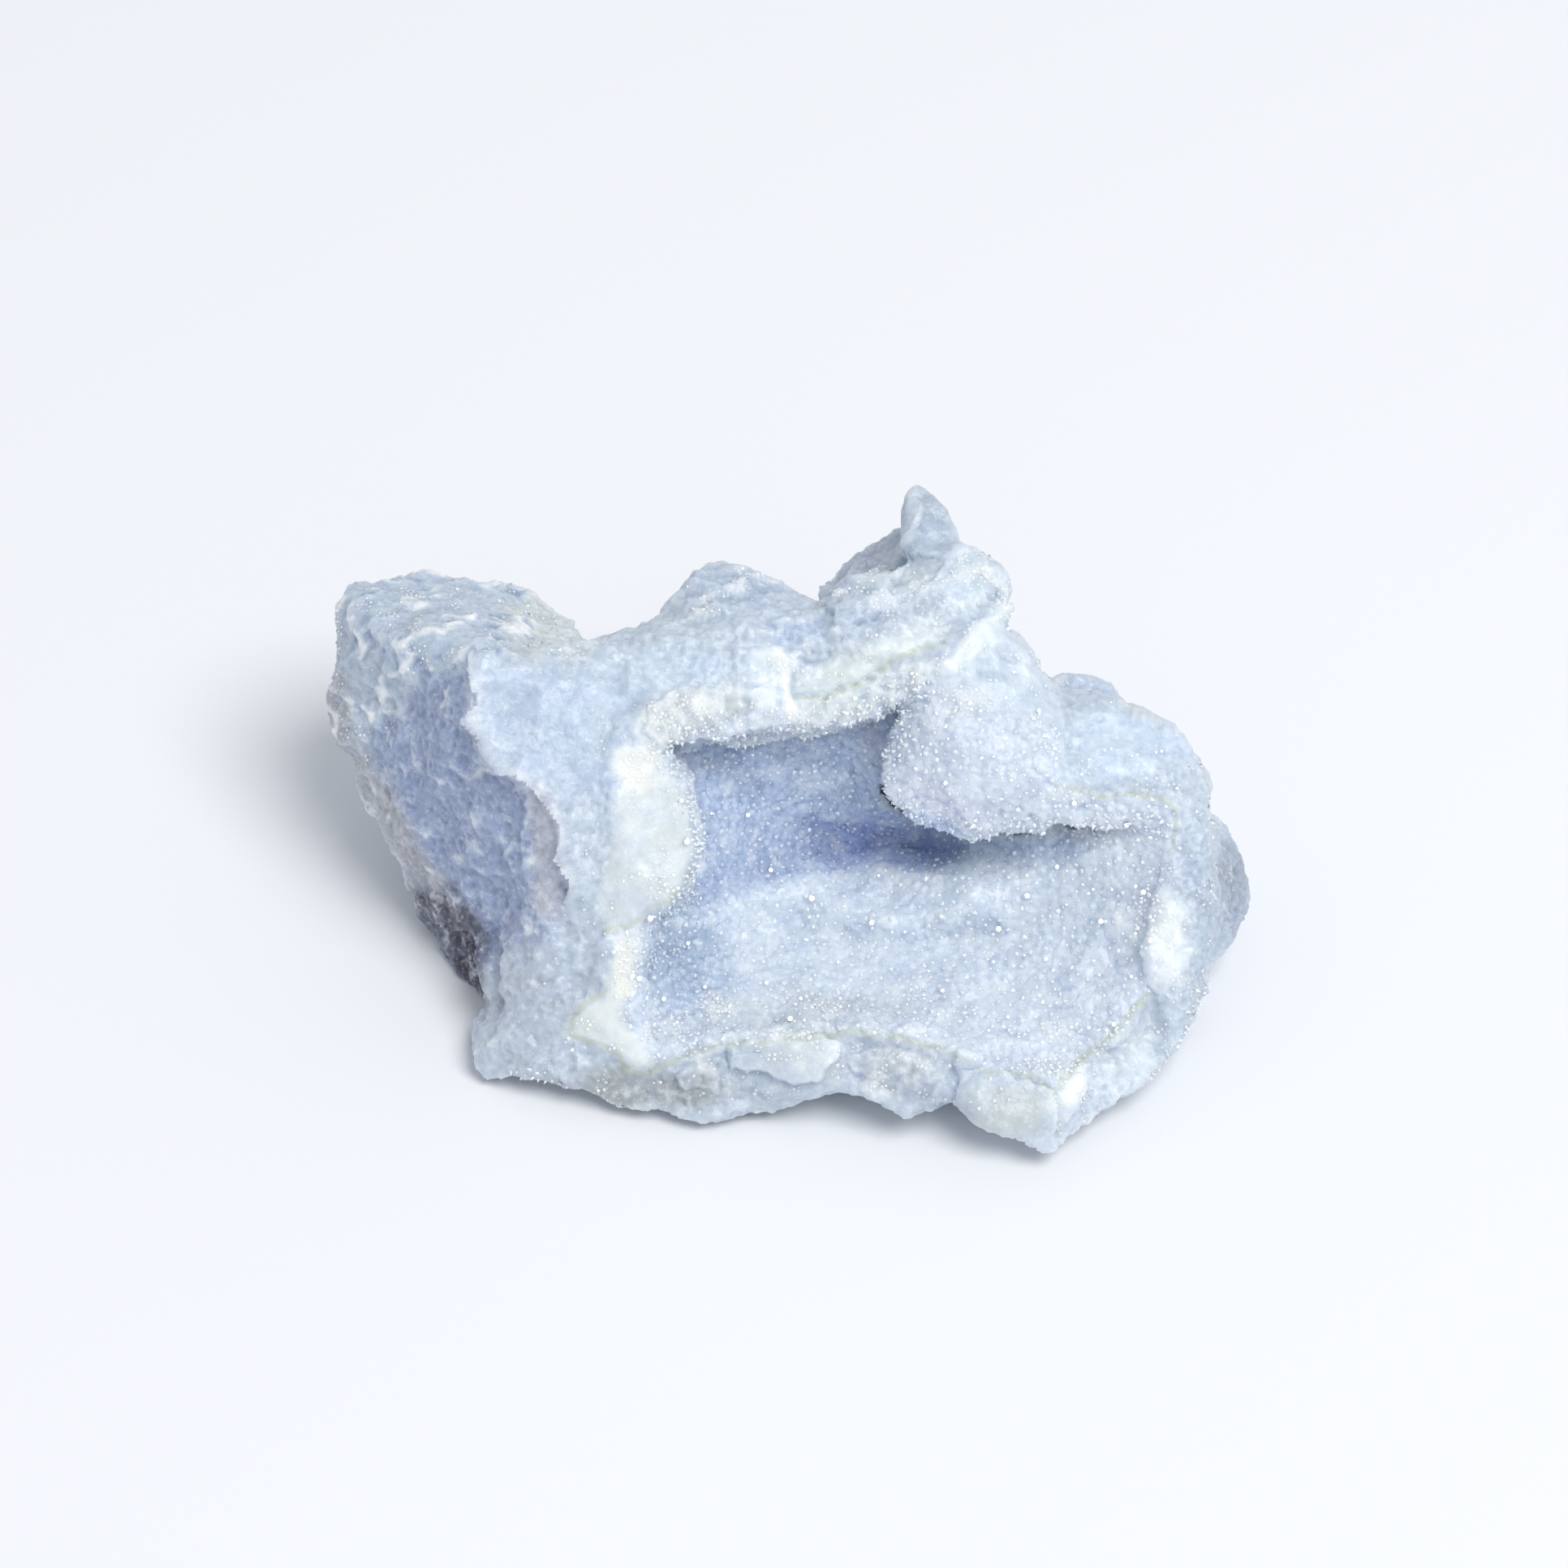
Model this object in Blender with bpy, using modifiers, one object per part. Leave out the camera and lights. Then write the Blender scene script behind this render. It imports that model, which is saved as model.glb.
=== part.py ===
"""A broken piece of blue chalcedony whose hollow is lined with a crust of fine quartz crystals.

Metres, +Z up. The stone lies on a flat spot of its back, so that its broken face looks forwards
and up. Its outlines are drawn on that face, in millimetres: across to the right, up along the
face, and out of it towards the viewer. stone_point() lays such a point into the world.
"""
import math

import bmesh
import bpy
from mathutils import Matrix, Vector

MM = 0.001

# How the broken face leans, and from how far away its outlines were drawn
FACE_LEAN = math.radians(45)
DRAWN_FROM = 400.0
DRAWN_CENTRE = (0.0, 26.4)

# The stone's skin: size of its grain, and size and height of its swells and chips
GRAIN = 0.55 * MM
SWELLS = (7.0 * MM, 1.1 * MM)
CHIPS = (2.2 * MM, 0.55 * MM)
STONE_TRIANGLES = 7300

# The hollow and its crystal crust, in millimetres
SHELF_HEIGHT = 5.6
CRUST = 1.7
GAP = 0.3
CUTTER_REACH = 9.0
LIP_DEPTH = 2.0
# Each ring of the cave behind the lip: depth, and share of the cave's outline kept
CAVE_RINGS = [(7.0, 1.0), (10.5, 0.92), (14.0, 0.74)]
LINING_GRAIN = 1.0 * MM
# Size and height of the crust's nodules, and how much of that height stands into the hollow
NODULES = (3.0 * MM, 1.0 * MM, 0.8)
HOLLOW_TRIANGLES = 2000
SEAT_TRIANGLES = 700

# The ground is cut away below the stone
GROUND_SIZE = 160 * MM
GROUND_DEPTH = 20 * MM

# Outline of the broken face, clockwise from its top left corner: across, up, out
FACE_OUTLINE = [
    (-21.8, 35.2, 1.5), (-22.2, 32.5, 2.0), (-22.1, 31.1, 2.4), (-21.1, 29.6, 2.4),
    (-20.2, 27.8, 2.0), (-18.8, 27.2, 2.0), (-17.3, 25.7, 2.0), (-15.8, 23.5, 1.4),
    (-15.7, 21.1, 0.2), (-17.0, 17.2, -2.2), (-19.5, 15.7, -3.8), (-21.5, 15.1, -5.0),
    (-21.8, 13.7, -5.2), (-20.9, 11.9, -4.6), (-20.6, 10.3, -4.4), (-21.5, 9.0, -4.3),
    (-22.2, 7.1, -4.1), (-21.2, 5.8, -4.5), (-18.4, 6.0, -3.1), (-15.8, 5.0, -2.6),
    (-12.9, 3.9, -2.3), (-10.9, 2.7, -1.5), (-6.7, 2.1, -1.1), (-1.3, 2.3, -1.3), (1.9, 4.0, 0.4),
    (4.0, 4.7, 1.3), (7.3, 3.6, 1.2), (8.3, 3.0, 1.1), (10.4, 3.9, 1.5), (12.4, 4.8, 1.8),
    (13.1, 2.9, 2.0), (15.6, 1.7, 1.9), (18.3, -0.1, 1.7), (20.8, 1.3, 1.2), (23.0, 3.1, 0.6),
    (25.8, 5.4, -0.2), (27.8, 8.0, -1.0), (28.6, 10.0, -1.6), (29.8, 12.8, -2.8),
    (30.7, 16.0, -3.0), (30.5, 19.9, -3.0), (29.9, 23.9, -3.0), (29.5, 26.8, -3.2),
    (28.1, 29.9, -3.8), (25.7, 31.7, -4.6), (22.4, 32.4, -5.2), (19.0, 32.9, -5.2),
    (17.7, 34.7, -4.6), (16.8, 36.5, -4.2), (15.3, 37.5, -3.6), (14.9, 40.0, -4.0),
    (13.1, 41.6, -4.2), (10.4, 41.3, -3.6), (7.6, 40.9, -3.2), (4.7, 39.8, -2.8), (1.9, 38.6, -2.4),
    (-1.3, 38.6, -2.2), (-5.0, 38.8, -2.6), (-8.7, 37.9, -2.6), (-11.8, 37.2, -2.2),
    (-14.0, 36.6, -1.0), (-18.1, 36.0, 0.4),
]
FACE_CENTRE = (3.6, 21.1)
BROW_KEEP, BROW_DEPTH = 0.93, 0.5
# Each ring behind the face: depth, share of the outline kept, lowest height above the ground
FACE_RINGS = [
    (4.0, 0.995, 1.6), (8.0, 0.985, 0.9), (14.0, 0.95, -2.0), (22.0, 0.86, -2.0),
    (29.0, 0.62, -2.0),
]

# Rim of the hollow on the face, the hollow behind it, and the outer edge of the crystal layer
MOUTH = [
    (-8.3, 28.6), (-5.5, 29.5), (-2.1, 29.5), (1.0, 30.4), (4.2, 31.0), (6.7, 32.0), (9.6, 33.1),
    (8.7, 31.8), (7.6, 29.9), (7.4, 27.9), (7.1, 26.7), (7.9, 25.2), (9.9, 24.3), (13.0, 23.3),
    (18.4, 23.3), (24.7, 23.7), (26.7, 23.7), (27.0, 21.1), (26.4, 17.7), (25.1, 14.0),
    (24.1, 11.1), (21.5, 8.4), (19.0, 6.4), (15.8, 7.0), (11.6, 8.3), (7.0, 9.6), (1.9, 9.9),
    (-3.8, 9.7), (-7.7, 9.6), (-9.5, 10.4), (-10.7, 12.4), (-10.4, 14.8), (-8.7, 16.9),
    (-6.8, 19.1), (-6.1, 21.7), (-6.4, 24.2), (-6.8, 26.7),
]
CAVE = [
    (-9.5, 28.8), (-6.7, 30.6), (-2.7, 31.4), (1.0, 31.8), (4.7, 32.1), (7.9, 32.4), (10.4, 32.0),
    (12.7, 31.4), (14.7, 30.3), (16.6, 29.2), (18.4, 28.2), (20.1, 27.4), (21.8, 26.7),
    (23.4, 26.0), (24.7, 25.3), (25.7, 24.5), (26.3, 23.4), (26.5, 21.1), (26.0, 18.5),
    (24.8, 16.5), (23.1, 15.1), (20.7, 13.7), (17.8, 13.7), (14.4, 14.0), (10.4, 14.2), (6.4, 14.5),
    (1.9, 14.8), (-2.7, 14.8), (-6.7, 15.1), (-9.2, 16.0), (-10.4, 17.1), (-10.8, 18.5),
    (-10.9, 19.9), (-10.7, 21.7), (-10.4, 23.7), (-10.2, 25.7), (-10.0, 27.4),
]
SEAM = [
    (-11.5, 31.1), (-6.7, 33.1), (-2.1, 32.9), (0.7, 32.4), (3.9, 32.7), (6.2, 34.0), (10.4, 35.2),
    (13.0, 37.1), (15.4, 38.1), (17.2, 36.5), (18.3, 34.8), (19.3, 32.5), (19.6, 29.4),
    (19.7, 26.4), (22.6, 25.4), (25.0, 25.7), (27.1, 25.4), (28.0, 21.7), (27.8, 17.7),
    (27.0, 13.7), (25.4, 11.3), (23.0, 8.3), (19.3, 4.8), (16.4, 6.0), (12.1, 7.0), (7.3, 8.6),
    (1.9, 8.8), (-3.5, 7.9), (-8.8, 6.4), (-11.5, 6.8), (-15.0, 9.6), (-13.2, 12.8), (-12.5, 16.0),
    (-11.3, 18.5), (-11.7, 21.1), (-12.3, 24.5), (-12.7, 27.9),
]
CAVE_CENTRE = (8.2, 23.9)

# Blocks that stand out of the face or behind it, each the hull of its corners
BLOCKS = {
    "left shoulder": [
        (-21.8, 35.1, 1.0), (-26.0, 33.1, -3.2), (-28.4, 36.9, -5.0), (-30.6, 40.4, -12),
        (-30.6, 39.0, -11.5), (-31.4, 35.9, -11), (-31.9, 29.9, -11), (-31.6, 28.6, -11.5),
        (-30.0, 29.9, -8.5), (-28.3, 40.9, -13), (-25.7, 41.2, -13.5), (-23.2, 40.7, -14),
        (-19.2, 40.6, -15), (-18.3, 39.6, -15), (-15.0, 38.2, -13), (-14.2, 36.7, -9),
        (-20.9, 30.2, -3), (-29.5, 39.0, -16), (-18.6, 39.3, -23), (-30.6, 30.2, -19),
        (-15.2, 30.2, -26),
    ],
    "left side": [
        (-21.8, 35.0, 1.0), (-22.1, 31.1, 1.8), (-20.2, 27.8, 1.4), (-17.3, 25.4, 1.4),
        (-15.9, 22.2, 0.4), (-17.0, 17.7, -3.0), (-20.9, 15.4, -6.5), (-24.1, 16.0, -10.5),
        (-25.9, 18.0, -12.5), (-26.7, 19.9, -12.5), (-28.3, 23.3, -12), (-30.3, 26.7, -11.5),
        (-26.0, 31.9, -4.8), (-29.5, 28.5, -8.5), (-29.5, 28.5, -18), (-24.9, 21.1, -23),
        (-15.2, 30.2, -27), (-25.2, 18.2, -17),
    ],
    "left tooth": [
        (-30.7, 40.6, -12), (-28.9, 41.1, -13), (-30.7, 38.8, -12), (-30.0, 36.5, -10),
        (-28.3, 38.2, -11), (-29.8, 39.0, -15),
    ],
    "left foot": [
        (-26.4, 18.4, -15), (-25.9, 17.2, -15), (-25.0, 15.8, -14.8), (-23.2, 13.4, -13.2),
        (-21.1, 11.3, -11), (-20.6, 13.7, -9.5), (-20.9, 17.1, -9.5), (-23.2, 19.9, -16),
        (-18.1, 16.0, -20), (-24.3, 21.1, -22),
    ],
    "bottom left lobe": [
        (-22.2, 7.2, -4.0), (-21.3, 5.9, -4.2), (-18.5, 6.2, -2.8), (-15.2, 5.7, -1.8),
        (-20.5, 9.9, -3.6), (-21.4, 9.0, -4.0), (-17.5, 10.8, -2.0), (-15.2, 8.0, -1.2),
        (-19.8, 8.6, -2.2), (-19.8, 8.6, -9),
    ],
    "top mound": [
        (-10.0, 37.9, -5), (-8.7, 39.1, -6), (-6.7, 41.2, -7), (-5.4, 42.1, -8), (-3.8, 42.1, -8),
        (-2.4, 41.4, -7.5), (-1.3, 40.5, -6.5), (0.5, 39.9, -6), (1.9, 39.2, -5), (-0.4, 37.3, -2),
        (-5.0, 37.6, -1.8), (-6.1, 39.3, -12), (-0.4, 38.2, -14),
    ],
    "back ridge": [
        (2.2, 39.4, -13), (4.7, 42.4, -14), (7.6, 44.1, -14), (9.0, 44.7, -13), (11.9, 41.6, -13),
        (4.2, 35.9, -22), (12.1, 37.1, -22), (7.6, 41.6, -18), (4.4, 38.5, -6), (11.3, 39.0, -6),
    ],
    "horn": [
        (7.9, 45.0, -7), (8.2, 46.7, -8), (8.5, 47.5, -8.2), (9.2, 47.9, -8.2), (10.4, 47.1, -8),
        (11.4, 45.9, -7), (12.0, 44.5, -6), (12.4, 43.1, -5), (8.7, 41.6, -4), (12.4, 40.5, -4),
        (9.9, 45.0, -5), (8.4, 42.2, -13), (11.9, 42.2, -13), (9.3, 47.0, -11),
    ],
    "top right block": [
        (2.9, 39.2, -2.8), (5.3, 40.9, -3.4), (8.2, 41.7, -3.6), (10.4, 42.2, -3.6),
        (12.7, 43.2, -4.0), (13.6, 43.0, -4.0), (14.6, 42.1, -3.8), (15.7, 40.9, -3.6),
        (16.2, 39.4, -3.4), (16.1, 37.5, -2.6), (12.7, 35.5, -0.8), (9.3, 35.2, 0.2),
        (4.7, 35.9, 0.4), (3.1, 37.3, -0.6), (13.6, 40.5, -12), (5.3, 38.2, -12),
    ],
    "white block": [
        (-2.6, 37.5, -1.6), (-0.3, 37.6, -1.6), (0.5, 35.9, -0.4), (0.4, 30.9, 0.8),
        (-2.4, 30.6, 0.8), (-3.0, 34.2, 0.0), (-1.5, 35.9, -6), (-0.4, 31.4, -6),
    ],
    "small block": [
        (0.7, 38.1, -1.8), (3.1, 37.8, -1.8), (3.4, 36.1, -0.8), (1.0, 35.9, -0.8), (1.9, 37.1, -6),
        (1.9, 35.9, -3),
    ],
    "top rim": [
        (-15.2, 35.9, -0.4), (-11.2, 36.8, -1.8), (-5.0, 38.3, -2.6), (1.9, 38.2, -2.4),
        (4.7, 36.5, -1.2), (5.3, 31.8, 0.0), (1.0, 30.7, 0.2), (-5.5, 29.8, 0.6), (-9.5, 29.9, 1.0),
        (-14.1, 32.5, 1.2), (-12.9, 34.2, -8), (-3.8, 35.9, -8), (4.2, 34.8, -8), (1.9, 31.4, -8),
    ],
    "left rim": [
        (-21.4, 34.5, 1.6), (-15.2, 35.6, 0.2), (-11.8, 32.5, 1.2), (-9.5, 28.8, 1.4),
        (-7.0, 26.5, 0.6), (-6.6, 21.9, 0.4), (-8.4, 17.7, 0.2), (-12.9, 17.1, 0.4),
        (-15.7, 21.7, 1.6), (-17.0, 25.1, 2.2), (-20.2, 28.5, 2.4), (-21.5, 31.4, 2.2),
        (-18.6, 31.9, -8), (-8.4, 28.5, -8), (-15.2, 18.8, -8), (-7.8, 18.8, -8),
    ],
    "lower left rim": [
        (-15.8, 22.2, 1.2), (-9.5, 18.2, 0.4), (-10.1, 15.4, 0.2), (-11.1, 12.0, -0.2),
        (-10.1, 8.0, -0.2), (-9.5, 4.0, -1.0), (-12.9, 4.4, -1.6), (-18.1, 6.8, -2.4),
        (-19.7, 10.8, -3.0), (-20.2, 14.2, -3.2), (-17.5, 17.1, -1.0), (-18.1, 13.1, -8),
        (-9.5, 17.1, -8), (-9.5, 7.4, -5), (-15.8, 8.0, -6),
    ],
    "bottom rim": [
        (-10.7, 7.6, -0.2), (-3.8, 9.0, 0.2), (1.9, 9.6, 0.8), (3.0, 5.4, 1.0), (1.0, 4.6, 0.2),
        (-1.5, 3.0, -1.2), (-6.7, 2.6, -1.2), (-10.1, 3.1, -1.4), (-10.7, 7.6, -6), (3.0, 8.6, -6),
        (-6.7, 4.6, -3),
    ],
    "bottom right rim": [
        (1.9, 9.6, 0.8), (7.6, 9.2, 1.4), (13.3, 7.4, 2.0), (12.8, 5.2, 2.0), (9.9, 4.4, 1.4),
        (8.3, 3.5, 1.2), (4.7, 4.8, 1.4), (2.7, 5.4, 1.0), (1.9, 9.1, -5), (13.3, 8.0, -5),
        (7.6, 6.3, -3),
    ],
    "top right rim": [
        (3.0, 36.5, -1.0), (11.3, 38.4, -1.8), (15.6, 37.5, -2.8), (12.7, 34.5, -0.2),
        (11.3, 34.2, 0.2), (7.6, 32.4, 0.3), (4.4, 31.2, 0.3), (3.0, 31.4, 0.3), (4.2, 34.8, -8),
        (13.3, 36.5, -8), (5.3, 31.9, -8),
    ],
    "overhang": [
        (11.3, 34.4, -0.4), (13.6, 36.9, -2.4), (15.6, 37.4, -3.2), (18.2, 34.1, -4.0),
        (19.0, 32.9, -4.4), (8.8, 32.1, -2.2), (7.6, 29.9, -2.0), (7.1, 26.8, -2.0),
        (7.9, 25.1, -1.6), (13.0, 23.0, -0.8), (18.4, 23.0, -0.8), (19.7, 26.4, 1.2),
        (13.9, 26.8, 1.4), (12.1, 30.2, 1.2), (10.4, 29.1, 0.6), (16.1, 32.5, -0.6),
        (13.3, 30.2, -12), (18.4, 27.4, -12),
    ],
    "right arm": [
        (19.1, 33.1, -4.6), (23.2, 32.5, -4.4), (25.8, 31.8, -4.0), (28.1, 30.3, -3.2),
        (29.7, 26.8, -2.2), (29.9, 23.9, -1.8), (27.0, 23.6, -1.0), (24.4, 23.6, -0.6),
        (19.7, 23.4, -0.6), (19.7, 26.8, 0.8), (23.5, 27.4, 0.8), (27.0, 26.8, 0.0),
        (19.0, 30.2, -2), (24.7, 30.2, -12), (28.7, 25.7, -12),
    ],
    "right lip": [
        (27.5, 23.9, -0.8), (29.8, 23.9, -1.8), (30.2, 19.4, -2.0), (29.6, 15.4, -1.6),
        (28.4, 13.1, -0.8), (26.0, 13.1, 0.4), (25.4, 14.8, 0.2), (27.0, 18.2, 0.0),
        (28.7, 10.3, -1.0), (27.0, 8.0, -0.6), (27.5, 18.8, -8), (28.7, 13.1, -8),
    ],
    "back bump": [
        (18.8, 33.6, -12), (19.7, 34.3, -12), (21.0, 34.5, -12), (22.4, 34.3, -12),
        (23.4, 33.5, -12), (24.2, 32.0, -10), (19.0, 30.2, -12), (21.3, 31.4, -18),
        (24.1, 30.2, -16),
    ],
    "right bump": [
        (30.2, 24.5, -9), (30.7, 23.0, -9), (31.6, 21.9, -9), (32.1, 20.4, -9), (32.5, 18.8, -9.2),
        (32.4, 17.1, -9.4), (31.9, 15.7, -9.4), (31.1, 14.4, -9), (29.8, 12.8, -7),
        (29.2, 19.9, -3.6), (29.5, 15.4, -4.2), (30.4, 22.8, -15), (31.0, 17.7, -16),
        (28.1, 16.0, -20), (30.4, 18.8, -6),
    ],
    "bottom shell": [
        (-1.5, 7.4, 0.6), (0.5, 8.6, 1.2), (3.0, 8.6, 1.4), (4.0, 7.4, 1.8), (3.6, 5.1, 1.8),
        (1.3, 4.1, 0.8), (-1.0, 4.8, 0.6), (0.7, 6.8, -3),
    ],
    "front corner": [
        (12.6, 6.8, 1.6), (12.5, 5.1, 2.6), (13.4, 3.1, 2.8), (18.2, 0.1, 2.2), (20.1, 2.2, 1.8),
        (19.2, 5.0, 2.8), (15.6, 6.0, 2.4), (17.8, 3.4, 3.0), (16.1, 4.0, -4), (21.8, 2.6, 0.6),
        (21.8, 6.3, 1.2),
    ],
}


def stone_point(across, up, out):
    """World place of a point drawn on the broken face, moved along its line of sight to its depth."""
    spread = (DRAWN_FROM - out) / DRAWN_FROM
    across = DRAWN_CENTRE[0] + (across - DRAWN_CENTRE[0]) * spread
    up = DRAWN_CENTRE[1] + (up - DRAWN_CENTRE[1]) * spread
    lean_sin, lean_cos = math.sin(FACE_LEAN), math.cos(FACE_LEAN)
    return Vector((across, up * lean_sin - out * lean_cos, up * lean_cos + out * lean_sin)) * MM


def lift(point, height):
    """Raise a point up the face until it is at least this high above the ground."""
    across, up, out = point
    level = (height - out * math.sin(FACE_LEAN)) / math.cos(FACE_LEAN)
    return across, max(up, level), out


def shrink(point, centre, keep):
    """Keep this share of a point's distance from a centre on the face."""
    return centre[0] + (point[0] - centre[0]) * keep, centre[1] + (point[1] - centre[1]) * keep


def new_collection(name):
    collection = bpy.data.collections.new(name)
    bpy.context.scene.collection.children.link(collection)
    return collection


def new_object(name, mesh, collection):
    obj = bpy.data.objects.new(name, mesh)
    collection.objects.link(obj)
    return obj


def object_from_shape(name, shape, collection):
    mesh = bpy.data.meshes.new(name)
    shape.to_mesh(mesh)
    shape.free()
    return new_object(name, mesh, collection)


def hull(name, corners, collection):
    """A block of stone: the convex hull of its corners."""
    shape = bmesh.new()
    for corner in corners:
        shape.verts.new(stone_point(*corner))
    result = bmesh.ops.convex_hull(shape, input=shape.verts)
    inner = result["geom_interior"] + result["geom_unused"]
    loose = {item for item in inner if isinstance(item, bmesh.types.BMVert)}
    bmesh.ops.delete(shape, geom=list(loose), context="VERTS")
    return object_from_shape(name, shape, collection)


def loft(name, rings, collection):
    """A closed skin through rings of equally many points, from the front ring to the back one."""
    shape = bmesh.new()
    layers = [[shape.verts.new(stone_point(*point)) for point in ring] for ring in rings]
    for front, back in zip(layers, layers[1:]):
        for index in range(len(front)):
            after = (index + 1) % len(front)
            shape.faces.new((front[index], back[index], back[after], front[after]))
    ends = [shape.faces.new(layers[0]), shape.faces.new(reversed(layers[-1]))]
    bmesh.ops.triangulate(shape, faces=ends)
    bmesh.ops.recalc_face_normals(shape, faces=shape.faces)
    return object_from_shape(name, shape, collection)


def bulk_rings():
    """Rings of the stone's bulk: the broken face, its brow in front, and smaller rings behind."""
    brow = []
    for across, up, out in FACE_OUTLINE:
        brow.append((*shrink((across, up), FACE_CENTRE, BROW_KEEP), out - BROW_DEPTH))
    rings = [brow, FACE_OUTLINE]
    for depth, keep, height in FACE_RINGS:
        ring = []
        for across, up, out in FACE_OUTLINE:
            ring.append(lift((*shrink((across, up), FACE_CENTRE, keep), out - depth), height))
        rings.append(ring)
    return rings


def hollow_rings(rim, wall):
    """Rings of the hollow, from in front of the face to the back wall, with room for a wall."""
    floor = SHELF_HEIGHT - wall
    front = [(*point, CUTTER_REACH) for point in rim]
    edge = [lift((*point, 0.0), floor) for point in rim]
    lip = [lift((*point, -LIP_DEPTH), floor) for point in rim]
    rings = [front, edge, lip]
    for depth, keep in CAVE_RINGS:
        ring = []
        for point in CAVE:
            share = keep * (1 + wall / math.dist(point, CAVE_CENTRE))
            ring.append(lift((*shrink(point, CAVE_CENTRE, share), -depth - wall), floor))
        rings.append(ring)
    return rings


def make_real(obj):
    """Turn an object's modifiers into its mesh."""
    graph = bpy.context.evaluated_depsgraph_get()
    mesh = bpy.data.meshes.new_from_object(obj.evaluated_get(graph))
    obj.modifiers.clear()
    obj.data = mesh


def regrain(obj, size):
    modifier = obj.modifiers.new("even skin", "REMESH")
    modifier.mode = "VOXEL"
    modifier.voxel_size = size


def roughen(obj, name, size, height, level=0.5):
    """Raise and sink the skin by clouds of this size."""
    texture = bpy.data.textures.new(name, "CLOUDS")
    texture.noise_scale = size
    texture.noise_depth = 1
    modifier = obj.modifiers.new(name, "DISPLACE")
    modifier.texture = texture
    modifier.strength = height
    modifier.mid_level = level


def thin_out(obj, triangles):
    """Make the modifiers real, then keep this many triangles."""
    make_real(obj)
    obj.data.calc_loop_triangles()
    modifier = obj.modifiers.new("thin out", "DECIMATE")
    modifier.ratio = min(1.0, triangles / len(obj.data.loop_triangles))
    make_real(obj)


def cut(obj, operation, cutter):
    modifier = obj.modifiers.new(cutter.name, "BOOLEAN")
    modifier.operation = operation
    modifier.object = cutter
    modifier.solver = "EXACT"


def grown_together(objects, name):
    """The first object, with the meshes of all of them in it."""
    shape = bmesh.new()
    for obj in objects:
        shape.from_mesh(obj.data)
    first = objects[0]
    shape.to_mesh(first.data)
    shape.free()
    first.name = name
    for obj in objects[1:]:
        bpy.data.objects.remove(obj)
    return first


def keep_largest_body(obj):
    """Drop the splinters that a cut has left beside the main piece."""
    shape = bmesh.new()
    shape.from_mesh(obj.data)
    unseen = set(shape.verts)
    bodies = []
    while unseen:
        body, front = set(), [unseen.pop()]
        while front:
            vert = front.pop()
            body.add(vert)
            near = {link.other_vert(vert) for link in vert.link_edges} & unseen
            unseen -= near
            front.extend(near)
        bodies.append(body)
    bodies.sort(key=len, reverse=True)
    for body in bodies[1:]:
        bmesh.ops.delete(shape, geom=list(body), context="VERTS")
    shape.to_mesh(obj.data)
    shape.free()


def whole_stone(collection):
    """The outside of the stone before its hollow is cut: bulk and blocks grown into one skin."""
    pieces = [loft("bulk", bulk_rings(), collection)]
    pieces += [hull(name, corners, collection) for name, corners in BLOCKS.items()]
    stone = grown_together(pieces, "whole stone")
    regrain(stone, GRAIN)
    roughen(stone, "swells", *SWELLS)
    roughen(stone, "chips", *CHIPS)
    thin_out(stone, STONE_TRIANGLES)
    cut(stone, "DIFFERENCE", ground(collection))
    make_real(stone)
    return stone


def ground(collection):
    """What lies below the stone: cutting it away leaves the flat spot that the stone rests on."""
    bpy.ops.mesh.primitive_cube_add(size=1, location=(0, 0, 0))
    block = bpy.context.object
    block.name = "ground"
    block.data.transform(Matrix.Diagonal((GROUND_SIZE, GROUND_SIZE, GROUND_DEPTH, 1)))
    block.data.transform(Matrix.Translation((0, 0, -GROUND_DEPTH / 2)))
    for owner in list(block.users_collection):
        owner.objects.unlink(block)
    collection.objects.link(block)
    return block


def hollow_shape(name, rim, wall, triangles, collection):
    """A cutter of the hollow: smooth for the seat of the crust, with nodules for the hollow itself."""
    cutter = loft(name, hollow_rings(rim, wall), collection)
    regrain(cutter, LINING_GRAIN)
    if wall == 0:
        roughen(cutter, "nodules", *NODULES)
    thin_out(cutter, triangles)
    return cutter


def lining_shape(seat, collection):
    """The seat drawn in by the gap that the crust keeps from the stone."""
    lining = new_object("lining", seat.data.copy(), collection)
    inset = lining.modifiers.new("gap", "DISPLACE")
    inset.strength = -GAP * MM
    inset.mid_level = 0.0
    make_real(lining)
    return lining


def material(name, colour, roughness):
    result = bpy.data.materials.new(name)
    result.use_nodes = True
    shader = result.node_tree.nodes["Principled BSDF"]
    shader.inputs["Base Color"].default_value = (*colour, 1.0)
    shader.inputs["Roughness"].default_value = roughness
    shader.inputs["Metallic"].default_value = 0.0
    return result


def chalcedony(stone, seat, collection):
    """The body of the stone, with the seat of the crust cut into it."""
    obj = new_object("chalcedony", stone.data.copy(), collection)
    cut(obj, "DIFFERENCE", seat)
    make_real(obj)
    keep_largest_body(obj)
    obj.data.materials.append(material("pale blue chalcedony", (0.62, 0.70, 0.86), 0.4))
    return obj


def druse(stone, seat, hollow, cutters, collection):
    """The crust of fine quartz crystals that lines the hollow and shows its edge on the face."""
    obj = new_object("druse", stone.data.copy(), collection)
    cut(obj, "INTERSECT", lining_shape(seat, cutters))
    cut(obj, "DIFFERENCE", hollow)
    make_real(obj)
    keep_largest_body(obj)
    obj.data.materials.append(material("drusy quartz", (0.80, 0.84, 0.90), 0.25))
    return obj


def set_origin(body, objects):
    """Move the meshes so that the world's origin is below the middle of the body, on the ground."""
    low = Vector(body.bound_box[0])
    high = Vector(body.bound_box[6])
    middle = (low + high) / 2
    for obj in objects:
        obj.data.transform(Matrix.Translation((-middle.x, -middle.y, 0)))
    print("the face's own zero is now at", -middle.x, -middle.y)
    return Vector((-middle.x, -middle.y, 0))


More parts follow.
